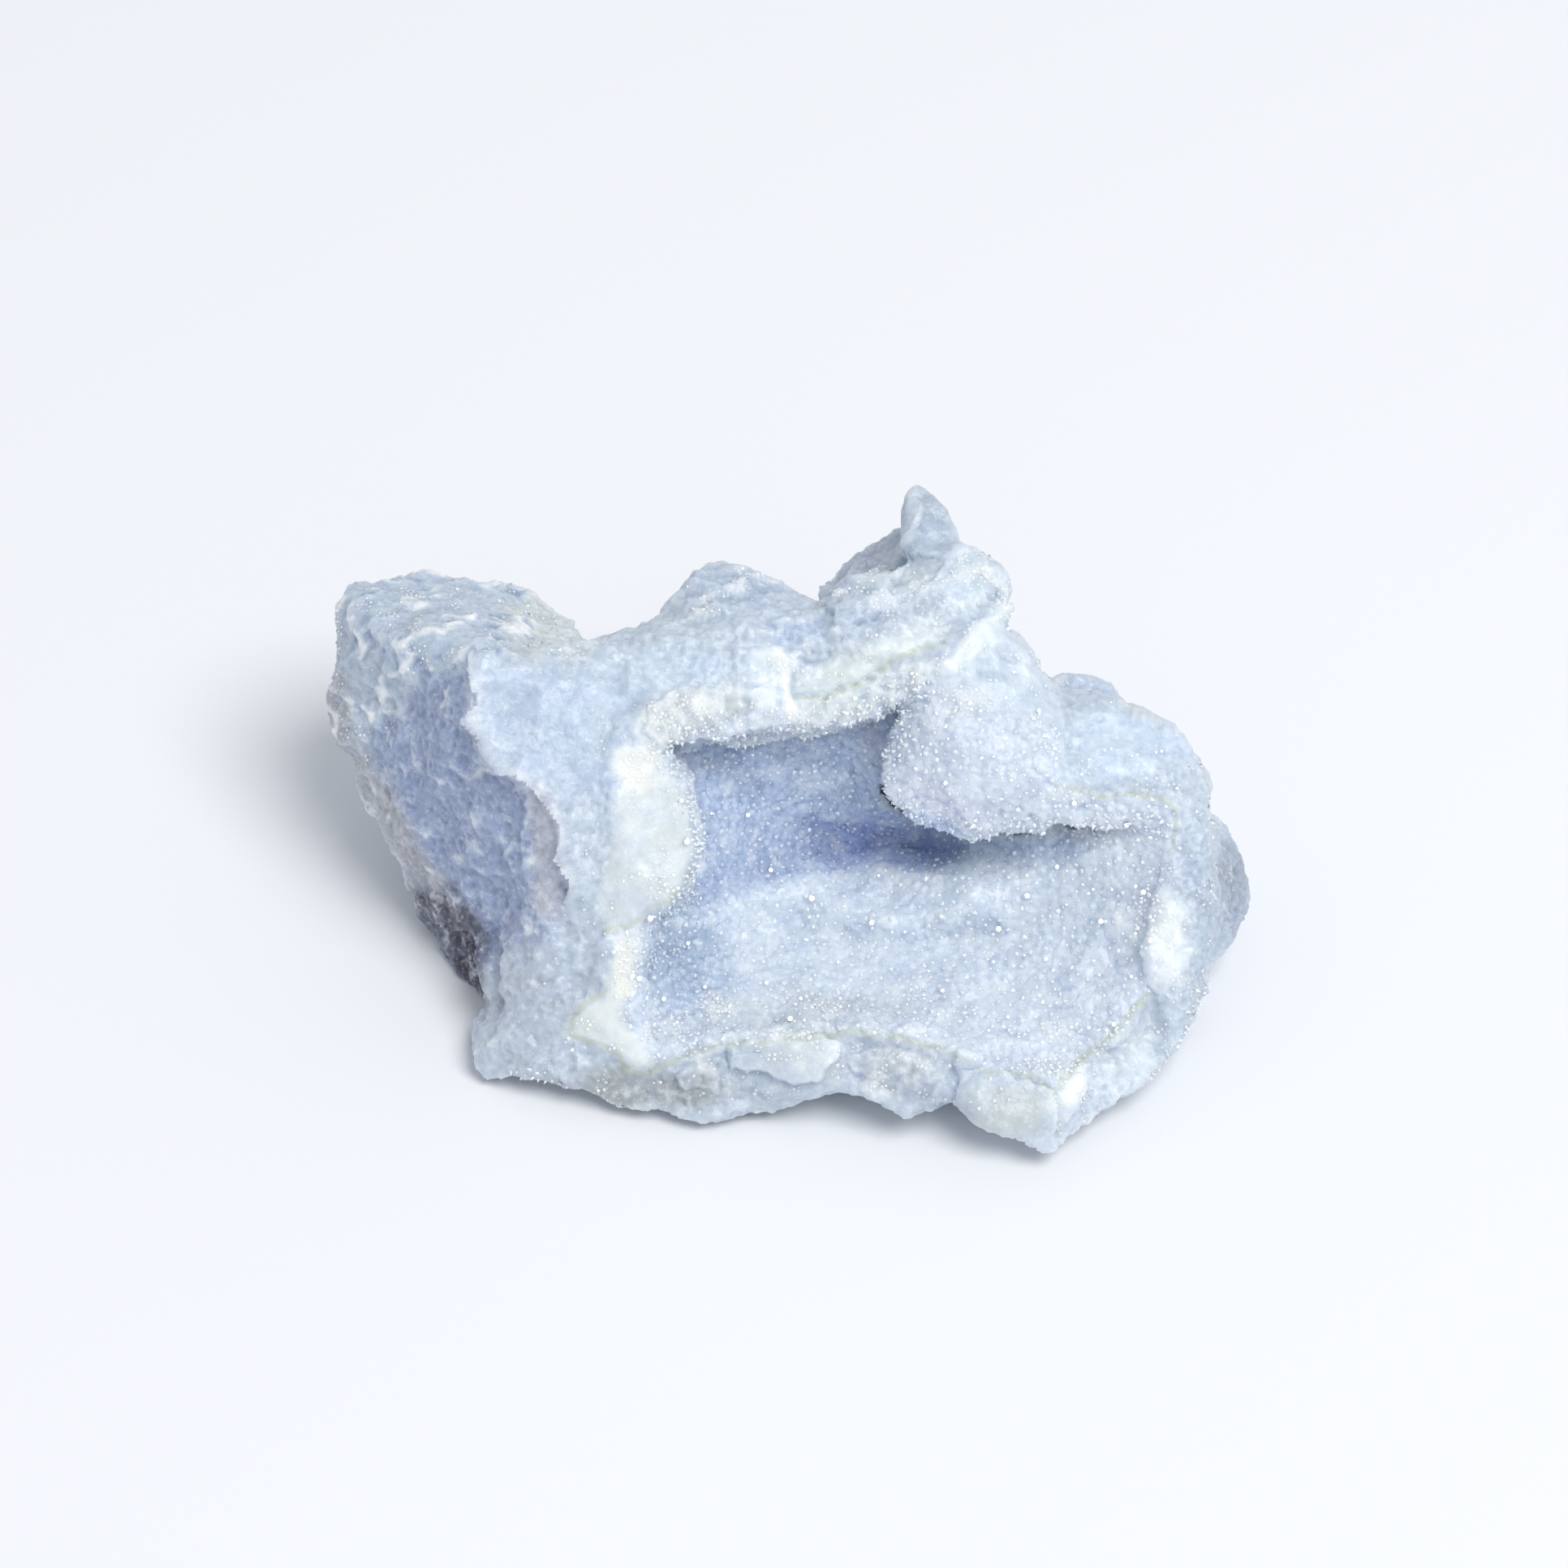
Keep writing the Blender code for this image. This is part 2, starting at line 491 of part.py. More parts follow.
def hide_cutters(collection):
    for obj in collection.objects:
        obj.hide_render = True
        obj.display_type = "WIRE"


def main():
    for obj in list(bpy.data.objects):
        bpy.data.objects.remove(obj)
    parts = new_collection("blue chalcedony")
    cutters = new_collection("cutters")
    stone = whole_stone(cutters)
    hollow = hollow_shape("hollow", MOUTH, 0.0, HOLLOW_TRIANGLES, cutters)
    seat = hollow_shape("seat", SEAM, CRUST, SEAT_TRIANGLES, cutters)
    body = chalcedony(stone, seat, parts)
    crust = druse(stone, seat, hollow, cutters, parts)
    hide_cutters(cutters)
    return set_origin(body, (body, crust))


FACE_ZERO = main()
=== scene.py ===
# %% [markdown]
# # A piece of blue chalcedony with a sparkling hollow
#
# Chalcedony is quartz grown so fine that it has no crystals to see. It is milky, a little
# see-through, and breaks like thick glass. This piece has a hollow, and there the quartz had room:
# it ends in thousands of small crystal points, each well under a millimetre wide. The solids of the
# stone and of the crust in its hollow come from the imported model. This script gives them their
# skin, their crystals, their colours and their light.

import math

import bpy
import numpy as np
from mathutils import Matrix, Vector, kdtree, noise


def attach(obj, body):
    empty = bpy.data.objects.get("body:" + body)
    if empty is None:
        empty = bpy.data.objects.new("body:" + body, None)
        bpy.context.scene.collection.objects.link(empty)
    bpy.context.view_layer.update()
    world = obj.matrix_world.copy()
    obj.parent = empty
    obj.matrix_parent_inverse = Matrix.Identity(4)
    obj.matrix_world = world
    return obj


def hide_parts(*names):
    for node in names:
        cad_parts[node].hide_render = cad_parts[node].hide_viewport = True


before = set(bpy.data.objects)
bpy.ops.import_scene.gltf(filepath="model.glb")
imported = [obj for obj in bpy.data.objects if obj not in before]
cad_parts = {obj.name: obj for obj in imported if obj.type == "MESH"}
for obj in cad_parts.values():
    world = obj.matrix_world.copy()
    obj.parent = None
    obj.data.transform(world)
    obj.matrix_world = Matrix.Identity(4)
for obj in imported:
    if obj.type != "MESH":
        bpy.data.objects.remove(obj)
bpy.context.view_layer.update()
bpy.ops.object.select_all(action="DESELECT")
MM = 0.001
print("solids:", sorted(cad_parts))

# %% [markdown]
# ## Places on the broken face
#
# The stone lies on its back, and its broken face leans back by 45 degrees. The camera looks at that
# face squarely. Colours and chips belong to places on it, so places are given as on a drawing laid
# over the face: millimetres across, up along the face, and out of it towards the camera.

# %% From a place on the face to the world, and back
FACE_LEAN = math.radians(45)
FACE_ZERO = np.array((-0.253, -23.673, 0.0))
FACE_MIDDLE = 26.4
VIEW_FROM = 400.0
SIN, COS = math.sin(FACE_LEAN), math.cos(FACE_LEAN)


def in_world(face):
    """World places of points of the drawing (across, up, out), one row for each."""
    spread = (VIEW_FROM - face[:, 2]) / VIEW_FROM
    across = face[:, 0] * spread
    up = FACE_MIDDLE + (face[:, 1] - FACE_MIDDLE) * spread
    local = np.stack((across, up * SIN - face[:, 2] * COS, up * COS + face[:, 2] * SIN), 1)
    return (local + FACE_ZERO) * MM


def on_face(points):
    """Places on the drawing (across, up, out) of many world points, one row for each."""
    local = points / MM - FACE_ZERO
    out = local[:, 2] * SIN - local[:, 1] * COS
    up = local[:, 1] * SIN + local[:, 2] * COS
    spread = (VIEW_FROM - out) / VIEW_FROM
    return np.stack((local[:, 0] / spread, FACE_MIDDLE + (up - FACE_MIDDLE) / spread, out), 1)


# %% The camera
PICTURE_WIDTH = 110.12
camera = bpy.data.objects.new("camera", bpy.data.cameras.new("camera"))
bpy.context.scene.collection.objects.link(camera)
towards_camera = Vector((0, -COS, SIN))
middle = Vector(in_world(np.array([[0.0, FACE_MIDDLE, 0.0]]))[0])
camera.location = middle + VIEW_FROM * MM * towards_camera
camera.rotation_euler = (math.pi / 2 - FACE_LEAN, 0, 0)
camera.data.sensor_width = 36.0
camera.data.lens = camera.data.sensor_width * VIEW_FROM / PICTURE_WIDTH
camera.data.clip_start = 0.01
bpy.context.scene.camera = camera
print("camera at", tuple(round(value, 4) for value in camera.location))

# %% [markdown]
# ## One skin over stone and crust
#
# In the real piece the crust has grown out of the stone, and light runs through both. So the skin
# is made as one: the two solids are copied, the crust is swollen a little to close the joint, and
# both are wrapped in one fine even skin. Smoothing takes away the flat facets of the solids, and
# the real surface is carved into it afterwards.

# %% Working with many points at once
LOWEST_SKIN = 0.05 * MM


def active(obj):
    """Select this object alone, so that operators act on it and nothing else."""
    bpy.ops.object.select_all(action="DESELECT")
    obj.select_set(True)
    bpy.context.view_layer.objects.active = obj
    return obj


def add_modifier(obj, kind, **settings):
    """Add a modifier, set it up, and apply it."""
    active(obj)
    modifier = obj.modifiers.new(kind.lower(), kind)
    for name, value in settings.items():
        setattr(modifier, name, value)
    bpy.ops.object.modifier_apply(modifier=modifier.name)


def points_of(obj):
    """The places of a mesh's points, one row for each."""
    points = np.empty(len(obj.data.vertices) * 3)
    obj.data.vertices.foreach_get("co", points)
    return points.reshape(-1, 3)


def directions_of(obj):
    """The directions in which the surface faces at a mesh's points, one row for each."""
    directions = np.empty(len(obj.data.vertices) * 3)
    obj.data.vertices.foreach_get("normal", directions)
    return directions.reshape(-1, 3)


def move_points(obj, points):
    obj.data.vertices.foreach_set("co", points.ravel())
    obj.data.update()


def above_ground(points):
    """The same points, with none of them below the ground."""
    return np.maximum(points, (-np.inf, -np.inf, LOWEST_SKIN))


def store(obj, name, values):
    """Keep one number for each point, for the material and the crystals to read."""
    attribute = obj.data.attributes.new(name, "FLOAT", "POINT")
    attribute.data.foreach_set("value", np.asarray(values, np.float32))


def triangles(obj):
    obj.data.calc_loop_triangles()
    return len(obj.data.loop_triangles)


# %% Wrap both solids in one skin
SKIN_GRAIN = 0.20 * MM
JOINT = 0.45 * MM
WELD = 0.01 * MM


def welded_copy(node, name):
    """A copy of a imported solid, whose loose triangles are joined into one surface."""
    obj = bpy.data.objects.new(name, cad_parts[node].data.copy())
    bpy.context.scene.collection.objects.link(obj)
    obj.data.materials.clear()
    active(obj)
    bpy.ops.object.mode_set(mode="EDIT")
    bpy.ops.mesh.select_all(action="SELECT")
    bpy.ops.mesh.remove_doubles(threshold=WELD)
    bpy.ops.object.mode_set(mode="OBJECT")
    return obj


stone = welded_copy("chalcedony", "stone")
crust = welded_copy("druse", "crust")
add_modifier(crust, "DISPLACE", strength=JOINT, mid_level=0.0)
active(stone)
crust.select_set(True)
bpy.ops.object.join()
add_modifier(stone, "REMESH", mode="VOXEL", voxel_size=SKIN_GRAIN)
add_modifier(stone, "SMOOTH", factor=0.5, iterations=6)
print("skin:", triangles(stone), "triangles")

# %% [markdown]
# ## Regions of the stone
#
# The stone doesn't look the same all over. Each region is drawn on the face as an outline, an oval
# or a line, and fades at its edge. Carving, crystals and colours all use the same regions.

# %% Outlines, ovals and lines as soft regions


def reach(values, low, high):
    """0 below low, 1 above high, and a soft step between."""
    share = np.clip((values - low) / (high - low), 0, 1)
    return share * share * (3 - 2 * share)


def distance_to(face, line):
    """Distance in millimetres from each place to a drawn line."""
    nearest = np.full(len(face), np.inf)
    for start, end in zip(line, line[1:]):
        start, end = np.array(start, float), np.array(end, float)
        along = end - start
        share = np.clip(((face[:, :2] - start) @ along) / (along @ along), 0, 1)
        gap = face[:, :2] - start - share[:, None] * along
        nearest = np.minimum(nearest, np.hypot(gap[:, 0], gap[:, 1]))
    return nearest


def distance_to_any(face, lines):
    """Distance in millimetres from each place to the nearest of several lines."""
    return np.min([distance_to(face, line) for line in lines], axis=0)


def depth_in(face, outline):
    """How far each place lies inside a closed outline; below zero outside it."""
    closed = list(outline) + [outline[0]]
    inside = np.zeros(len(face), bool)
    for (x1, y1), (x2, y2) in zip(closed, closed[1:]):
        crosses = (y1 > face[:, 1]) != (y2 > face[:, 1])
        slope = (x2 - x1) / (y2 - y1) if y2 != y1 else 0.0
        inside ^= crosses & (face[:, 0] < x1 + slope * (face[:, 1] - y1))
    return np.where(inside, 1, -1) * distance_to(face, closed)


def region(face, outline, soft=1.0):
    """1 inside an outline and 0 outside, fading over this many millimetres."""
    return reach(depth_in(face, outline), -soft / 2, soft / 2)


def oval(face, centre, radii, turn=0.0, soft=0.6):
    """1 inside an oval and 0 outside; turn is in degrees, and soft is a share of its radii."""
    turn = math.radians(turn)
    across, up = face[:, 0] - centre[0], face[:, 1] - centre[1]
    long = (across * math.cos(turn) + up * math.sin(turn)) / radii[0]
    wide = (up * math.cos(turn) - across * math.sin(turn)) / radii[1]
    return 1 - reach(np.hypot(long, wide), 1 - soft, 1 + soft / 2)


def any_oval(face, ovals):
    """1 inside at least one of several ovals, each given as its centre and its radii."""
    return np.max([oval(face, centre, radii) for centre, radii in ovals], axis=0)


# %% Outlines of the hollow and of the smooth places in it
HOLLOW = [
    (-9.5, 28.5), (-5.5, 29.9), (-3.8, 31.4), (-0.4, 32.4), (2.2, 32.3), (3.6, 32.7), (5.3, 32.6),
    (6.3, 34.0), (9.3, 34.2), (11.3, 34.8), (12.1, 37.6), (15.4, 38.1), (17.3, 35.9), (19.0, 33.6),
    (19.6, 29.1), (19.7, 26.4), (22.6, 25.4), (25.0, 25.7), (26.8, 25.4), (27.7, 23.9), (27.8, 21.1),
    (27.5, 17.7), (27.0, 13.7), (25.5, 11.7), (23.5, 9.1), (21.0, 7.1), (19.4, 5.0), (17.0, 6.0),
    (13.9, 6.3), (12.1, 7.4), (10.4, 8.0), (7.9, 8.6), (5.0, 9.0), (3.0, 8.8), (-1.3, 8.3),
    (-5.0, 7.8), (-7.0, 7.2), (-8.8, 6.6), (-9.9, 5.9), (-10.9, 6.2), (-11.7, 7.5), (-13.7, 8.3),
    (-15.0, 8.9), (-15.1, 9.8), (-14.1, 10.7), (-12.4, 11.8), (-11.8, 13.7), (-12.5, 16.0),
    (-11.1, 16.3), (-10.1, 17.0), (-8.4, 18.2), (-9.5, 19.7), (-11.2, 22.2), (-11.7, 25.7),
    (-11.2, 27.6),
]
SEAM_LINES = [
    [(0.7, 32.4), (2.2, 32.3), (3.6, 32.7), (5.3, 33.5), (6.3, 33.9), (7.6, 35.1), (9.3, 35.9),
     (11.3, 36.2)],
    [(19.4, 26.3), (22.6, 25.4), (25.0, 25.7), (26.8, 25.4), (27.7, 23.9), (27.1, 21.7)],
    [(25.5, 11.7), (23.5, 9.1), (21.0, 7.1), (19.6, 5.7), (19.0, 4.8), (17.0, 6.0),
     (13.9, 6.3), (12.1, 7.4), (10.4, 8.0), (7.9, 8.6), (5.0, 9.0), (3.0, 8.8),
     (-1.3, 8.3), (-5.0, 7.8), (-7.0, 7.2), (-8.8, 6.6), (-9.9, 5.9), (-10.9, 6.2), (-11.7, 7.5),
     (-13.7, 8.3), (-15.0, 8.9), (-15.1, 9.8), (-14.1, 10.7), (-12.4, 11.8)],
    [(-12.5, 16.0), (-11.1, 16.3), (-10.1, 17.0), (-8.4, 18.2), (-6.7, 19.9)],
]
LOBE = [
    (-12.1, 28.8), (-9.5, 29.2), (-7.8, 27.1), (-6.6, 25.4), (-6.1, 22.2), (-6.2, 20.1), (-6.9, 18.8),
    (-8.7, 17.2), (-10.1, 16.5), (-12.5, 16.0), (-12.9, 18.2), (-12.3, 21.1), (-12.0, 24.5),
    (-11.2, 26.8),
]
INNER_LIP = [
    (-15.0, 8.9), (-15.1, 9.8), (-14.1, 10.7), (-12.4, 11.8), (-11.9, 13.7), (-11.7, 15.4),
    (-10.1, 16.6), (-9.5, 16.0), (-10.4, 14.5), (-10.9, 11.7), (-11.2, 9.6), (-10.1, 8.0), (-9.4, 7.1),
    (-9.9, 5.9), (-10.9, 6.2), (-11.7, 7.5), (-13.7, 8.3),
]
TRIANGLE = [
    (11.0, 34.2), (12.1, 37.6), (15.4, 38.1), (17.3, 35.9), (19.0, 33.6), (19.7, 30.2), (17.3, 31.4),
    (14.1, 32.2), (11.3, 32.4),
]
HOLLOW_EDGES = [
    [(-9.2, 28.6), (-7.2, 29.9), (-5.0, 29.9), (-3.8, 29.4), (-1.5, 29.5), (0.5, 30.5), (2.5, 30.2),
     (4.7, 31.1), (7.6, 32.4), (9.9, 33.3)],
    [(8.4, 31.4), (7.6, 28.5), (7.0, 26.2), (8.2, 25.1), (9.9, 23.9), (13.3, 23.1), (17.3, 23.4),
     (19.6, 23.1), (22.4, 23.4), (24.7, 23.8), (26.7, 23.9)],
    [(-9.2, 28.8), (-7.8, 27.1), (-6.7, 25.4), (-6.2, 22.2), (-6.1, 20.2), (-6.7, 19.1), (-8.4, 17.1),
     (-10.1, 16.0), (-10.9, 14.5), (-11.2, 12.0), (-11.5, 10.3)],
]
face = on_face(points_of(stone))
print("points in the hollow's outline:", int((depth_in(face, HOLLOW) > 0).sum()))

# %% Outlines of the left lump, its flank and its foot, and edges with small teeth
LEFT_TOP = [
    (-31.2, 41.6), (-28.3, 41.6), (-23.2, 42.2), (-18.6, 41.3), (-15.2, 39.6), (-13.5, 35.9),
    (-18.1, 35.2), (-21.6, 35.2), (-23.2, 34.7), (-26.0, 33.1), (-26.8, 31.4), (-28.3, 29.9),
    (-30.0, 27.4), (-32.3, 28.5), (-32.6, 32.5), (-31.5, 36.5),
]
FLANK = [
    (-21.9, 35.2), (-21.7, 32.0), (-22.2, 31.1), (-21.1, 29.6), (-20.3, 27.8), (-18.9, 27.2),
    (-17.3, 25.7), (-15.8, 23.5), (-15.7, 21.1), (-14.9, 19.6), (-15.8, 17.1), (-17.5, 15.4),
    (-20.9, 14.2), (-22.1, 10.3), (-27.8, 17.7), (-33.5, 27.9), (-30.0, 27.4), (-28.3, 29.9),
    (-26.8, 31.4), (-26.0, 33.1), (-23.2, 34.7),
]
FOOT = [
    (-26.6, 19.1), (-23.2, 18.8), (-20.8, 16.0), (-20.9, 13.7), (-20.1, 10.8), (-23.2, 11.7),
    (-26.6, 17.1),
]
RIDGE = [
    (-21.8, 35.2), (-21.7, 32.0), (-22.2, 31.1), (-21.1, 29.6), (-20.3, 27.8), (-18.9, 27.2),
    (-17.3, 25.7), (-15.8, 23.5), (-15.7, 21.1), (-14.9, 19.6),
]
FOOT_RIDGE = [(-22.3, 19.7), (-21.6, 17.4), (-20.8, 16.0), (-21.7, 14.5), (-21.8, 13.4), (-20.8, 11.3)]
SHOULDER = [
    (-21.5, 35.1), (-19.8, 34.8), (-11.8, 34.2), (-7.8, 33.1), (-9.5, 30.2), (-11.8, 26.8),
    (-15.2, 25.1), (-18.1, 27.9), (-20.9, 30.2),
]
TOOTHED_OUTLINES = [
    [(19.0, -0.6), (21.8, 1.7), (24.7, 4.0), (27.0, 6.8), (28.7, 9.7), (29.4, 12.3)],
    [(-21.8, 8.0), (-20.9, 5.7), (-17.5, 6.0), (-15.2, 4.8)],
    [(2.7, 40.2), (5.3, 40.9), (7.6, 42.5), (9.9, 43.0)],
    [(12.7, 43.0), (14.4, 41.3), (15.8, 39.6), (15.6, 38.5)],
]
for name, outline in (("left top", LEFT_TOP), ("flank", FLANK), ("foot", FOOT), ("shoulder", SHOULDER)):
    print("points in the", name, "outline:", int((depth_in(face, outline) > 0).sum()))

# %% [markdown]
# ## Three kinds of noise
#
# Chalcedony breaks in shell-shaped hollows with sharp ridges between them, large ones where a block
# has come off and tiny ones, like sugar, everywhere else. Three kinds of noise are enough for that:
# clouds for soft lumps, crests for winding ridges, and scallops for chips. Each has a seed, a number
# that chooses one pattern out of many, so the stone comes out the same each time.

# %% Clouds, crests and chipped hollows


def clouds(points, size, seed=0):
    """Soft noise from about -1 to 1 for each point, with lumps of about this size."""
    shift = Vector((17.3 * seed, 5.1 * seed, 9.7 * seed))
    scaled = points / size
    return np.array([noise.noise(Vector(place) + shift) for place in scaled])


def drift(points, size, seeds):
    """Three cloud noises for each point, to let the edge of a region wander."""
    return np.stack([clouds(points, size, seed) for seed in seeds], 1)


def crests(points, size, seed=0):
    """Sharp winding crests between soft hollows: 1 on a crest, and lower beside it."""
    return 1 - 3.2 * np.abs(clouds(points, size, seed))


def scallops(points, size, seed, stretch=(1.0, 1.0, 1.0)):
    """Hollows between sharp ridges, as where thick glass has chipped: 0 in the middle, 1 on a ridge."""
    chance = np.random.default_rng(seed)
    points = points / (size * np.array(stretch))
    low, high = points.min(0) - 1, points.max(0) + 1
    steps = [np.arange(start, end) for start, end in zip(low, high)]
    grid = np.stack(np.meshgrid(*steps, indexing="ij"), -1).reshape(-1, 3)
    seeds = grid + chance.random(grid.shape)
    tree = kdtree.KDTree(len(seeds))
    for index, place in enumerate(seeds):
        tree.insert(place, index)
    tree.balance()
    gaps = np.array([tree.find(place)[2] for place in points])
    return np.minimum(gaps / 0.75, 1.2) ** 2


def facets_of(points):
    """The large glassy facets of the fractured blocks, as scallops."""
    return scallops(points, 1.9 * MM, 14, (1.3, 0.9, 1.0))


def web_of(points):
    """The web of frost: its ridges as scallops, and the clouds that say where it shows."""
    return scallops(points, 1.5 * MM, 11, (1.6, 0.8, 0.8)), clouds(points, 2.8 * MM, 12)


# %% [markdown]
# ## The floor of the hollow
#
# The solid's hollow has a flat floor and steep walls. In the real one the floor rises softly to the
# rim at the right and at the lower left, and it ends at the back in a brow above a deeper recess.
# Points of the floor are moved along the line of sight, so the outlines on the face stay in place.

# %% Which points the camera sees
SEEN_STEP = 0.05 * MM
towards = np.array(towards_camera)


def in_sight(obj, asked):
    """1 for each asked point with nothing of the object between it and the camera, 0 for the others."""
    free = np.zeros(len(asked))
    step = towards_camera * SEEN_STEP
    places = points_of(obj)
    for index in np.flatnonzero(asked):
        hit = obj.ray_cast(Vector(places[index]) + step, towards_camera)[0]
        free[index] = not hit
    return free


inside = reach(depth_in(face, HOLLOW), -1.0, -0.2)
seen_floor = inside * in_sight(stone, inside > 0)
facing = reach(directions_of(stone) @ towards, 0.0, 0.25)
print("points of the floor that the camera sees:", int((seen_floor > 0.5).sum()))

# %% Slopes, a brow and a recess
# A slope is a line, the height of the floor at the line, and how fast it falls away beside the line.
FLOOR_SLOPES = [
    ([(27.0, 25.4), (27.9, 23.9), (28.0, 21.1), (27.8, 17.7), (27.2, 13.7), (25.5, 11.5), (23.5, 9.0)],
     0.5, 0.55),
    ([(-9.5, 16.8), (-11.0, 14.5), (-11.3, 12.0), (-11.5, 9.7), (-10.1, 7.9)], -0.2, 0.75),
    ([(-9.2, 29.0), (-5.0, 30.3), (-1.5, 30.2), (1.0, 31.1), (4.2, 31.8), (7.6, 33.1)], -3.6, 0.75),
    ([(-8.0, 28.2), (-6.6, 25.4), (-6.0, 22.2), (-6.2, 19.7)], -3.6, 0.9),
    ([(9.3, 32.0), (8.0, 30.2), (7.4, 27.6)], -4.5, 0.8),
]
# Along the last three lines the solid's wall cuts back under the rim, so points out of sight move too.
UNDERCUTS = [line for line, start, fall in FLOOR_SLOPES[2:]]
VALLEY = [(11.6, 22.2), (6.4, 22.7), (2.5, 22.1), (-1.5, 20.7), (-5.5, 19.1)]
SLOPE_BLEND = 0.5
BROW_RISE = 2.4
PATCH_RISE = 0.6
RECESS_DEPTH = 1.5
low_rims = np.maximum(
    oval(face, (27.0, 18.8), (3.4, 8.6), 0.0, 0.3), oval(face, (-9.7, 14.2), (1.6, 3.4), 0.0, 0.3)
)
floor_share = np.maximum(seen_floor, low_rims * (face[:, 2] > -11.5))
beside = reach(distance_to_any(face, UNDERCUTS), 2.0, 1.2)
floor_share = np.maximum(floor_share, beside * facing * (face[:, 2] < -6.0))
height = face[:, 2].copy()
for line, start, fall in FLOOR_SLOPES:
    slope = start - fall * distance_to(face, line)
    height = SLOPE_BLEND * np.logaddexp(height / SLOPE_BLEND, slope / SLOPE_BLEND)
deep = 1 - reach(face[:, 2], -6.0, -3.0)
lumpy = face[:, 1] + 0.5 * clouds(in_world(face * (1, 1, 0)), 1.6 * MM, 47)
brow = oval(face, (8.2, 18.8), (9.0, 3.0), 0.0, 0.5) * reach(lumpy, 22.0, 21.6)
patch = oval(face, (-2.4, 25.9), (3.4, 3.0), 0.0, 0.8)
recess = reach(distance_to(face, VALLEY), 2.6, 0.0) * reach(face[:, 0], -6.5, 6.5)
height += deep * (BROW_RISE * brow + PATCH_RISE * patch - RECESS_DEPTH * recess)
moved = (height - face[:, 2]) * floor_share
face[:, 2] += moved
move_points(stone, in_world(face))
print("floor moved by", round(moved.min(), 1), "to", round(moved.max(), 1), "mm")

# %% Soften the places that are soft in the picture
SOFT_PLACES = [
    ((25.4, 11.1), (4.5, 3.5)), ((27.2, 19.4), (2.4, 6.5)), ((15.6, 31.9), (4.0, 3.0)),
    ((-10.1, 13.1), (2.5, 5.0)), ((6.7, 41.9), (3.4, 2.2)),
]
softened = np.flatnonzero(any_oval(face, SOFT_PLACES) * facing > 0.5)
soften = stone.vertex_groups.new(name="soften")
soften.add(softened.tolist(), 1.0, "REPLACE")
add_modifier(stone, "SMOOTH", factor=0.5, iterations=150, vertex_group="soften")
stone.vertex_groups.clear()
add_modifier(stone, "REMESH", mode="VOXEL", voxel_size=SKIN_GRAIN)
add_modifier(stone, "SMOOTH", factor=0.5, iterations=4)
face = on_face(points_of(stone))
print("points softened:", len(softened), "of", len(facing))

# %% [markdown]
# ## Blocks, flakes and ridges
#
# The larger breaks are single pieces that can be told apart in the picture: two square blocks in
# the top edge, the shell at the bottom, a flake beside it, the step at the right. Each is an outline
# on the face that is raised or sunk by a few tenths of a millimetre, with a sharp step at its edge.
# The ridges are lines that stand up in the same way.

# %% Blocks and flakes that stand out of the broken face
# A block is an outline, and how far it stands out in millimetres.
BLOCKS = [
    ([(-3.6, 37.9), (-1.5, 38.1), (-0.5, 36.8), (-0.1, 34.8), (0.3, 33.1), (0.7, 30.9), (-1.5, 31.1),
      (-3.5, 33.1), (-3.4, 35.9)], 0.22),
    ([(-0.7, 37.9), (2.1, 38.2), (2.7, 36.5), (3.0, 35.3), (-0.1, 35.2), (-0.5, 36.8)], 0.3),
    ([(2.9, 39.0), (4.2, 40.4), (6.2, 41.0), (7.6, 40.5), (7.6, 38.9), (5.3, 37.7), (3.9, 37.5)], 0.5),
    ([(7.3, 41.6), (9.3, 42.6), (11.3, 42.2), (10.4, 40.8), (8.2, 39.0), (7.6, 39.6)], -0.35),
    ([(-3.5, 8.0), (-2.1, 8.6), (0.5, 9.0), (2.7, 8.8), (3.8, 8.0), (3.9, 7.1), (3.0, 6.3), (2.3, 5.5),
      (1.3, 5.4), (-1.5, 6.2), (-3.8, 6.5)], 0.8),
    ([(-7.5, 6.0), (-6.4, 6.7), (-6.0, 7.2), (-4.7, 6.2), (-4.7, 4.8), (-6.1, 5.2), (-7.5, 5.2)], 0.35),
    ([(12.3, 8.0), (15.6, 6.0), (19.0, 4.8), (19.0, -0.6), (15.0, -0.6), (13.0, 1.7), (12.1, 4.0)], 0.4),
    ([(19.4, 4.8), (20.7, 6.7), (21.5, 6.8), (21.0, 4.6), (19.7, 2.4)], 0.25),
    ([(4.4, 7.4), (7.0, 8.0), (9.3, 7.4), (8.7, 6.0), (6.7, 5.7), (4.7, 6.2)], 0.3),
    ([(-9.5, 31.8), (-7.2, 33.1), (-4.4, 33.3), (-3.8, 31.9), (-5.5, 29.9), (-8.4, 28.8), (-9.8, 30.2)],
     0.35),
]
# A crest is a line, its width and its rise in millimetres.
CRESTS = [
    ([(11.5, 34.7), (13.3, 36.8), (15.6, 38.9)], 0.9, 0.6),
    (RIDGE, 0.35, 0.2),
    (FOOT_RIDGE, 0.5, 0.3),
    ([(9.6, 45.9), (9.2, 44.5), (8.3, 42.6)], 0.5, 0.35),
    ([(-17.8, 25.4), (-18.2, 22.2), (-17.8, 19.1), (-17.0, 16.8)], 0.5, 0.2),
]
# These ovals lie over the blocks: there the break is glassy, with large facets.
FRACTURED = [
    ((-4.4, 39.9), (4.5, 2.6)), ((-6.7, 31.4), (3.5, 1.6)), ((6.7, 39.6), (5.4, 3.0)),
    ((13.3, 39.6), (3.2, 3.8)), ((7.3, 6.0), (3.0, 2.0)), ((14.7, 34.8), (3.4, 2.6)),
    ((-0.4, 35.9), (3.6, 2.4)),
]
print(len(BLOCKS), "blocks and flakes,", len(CRESTS), "crests,", len(FRACTURED), "glassy places")

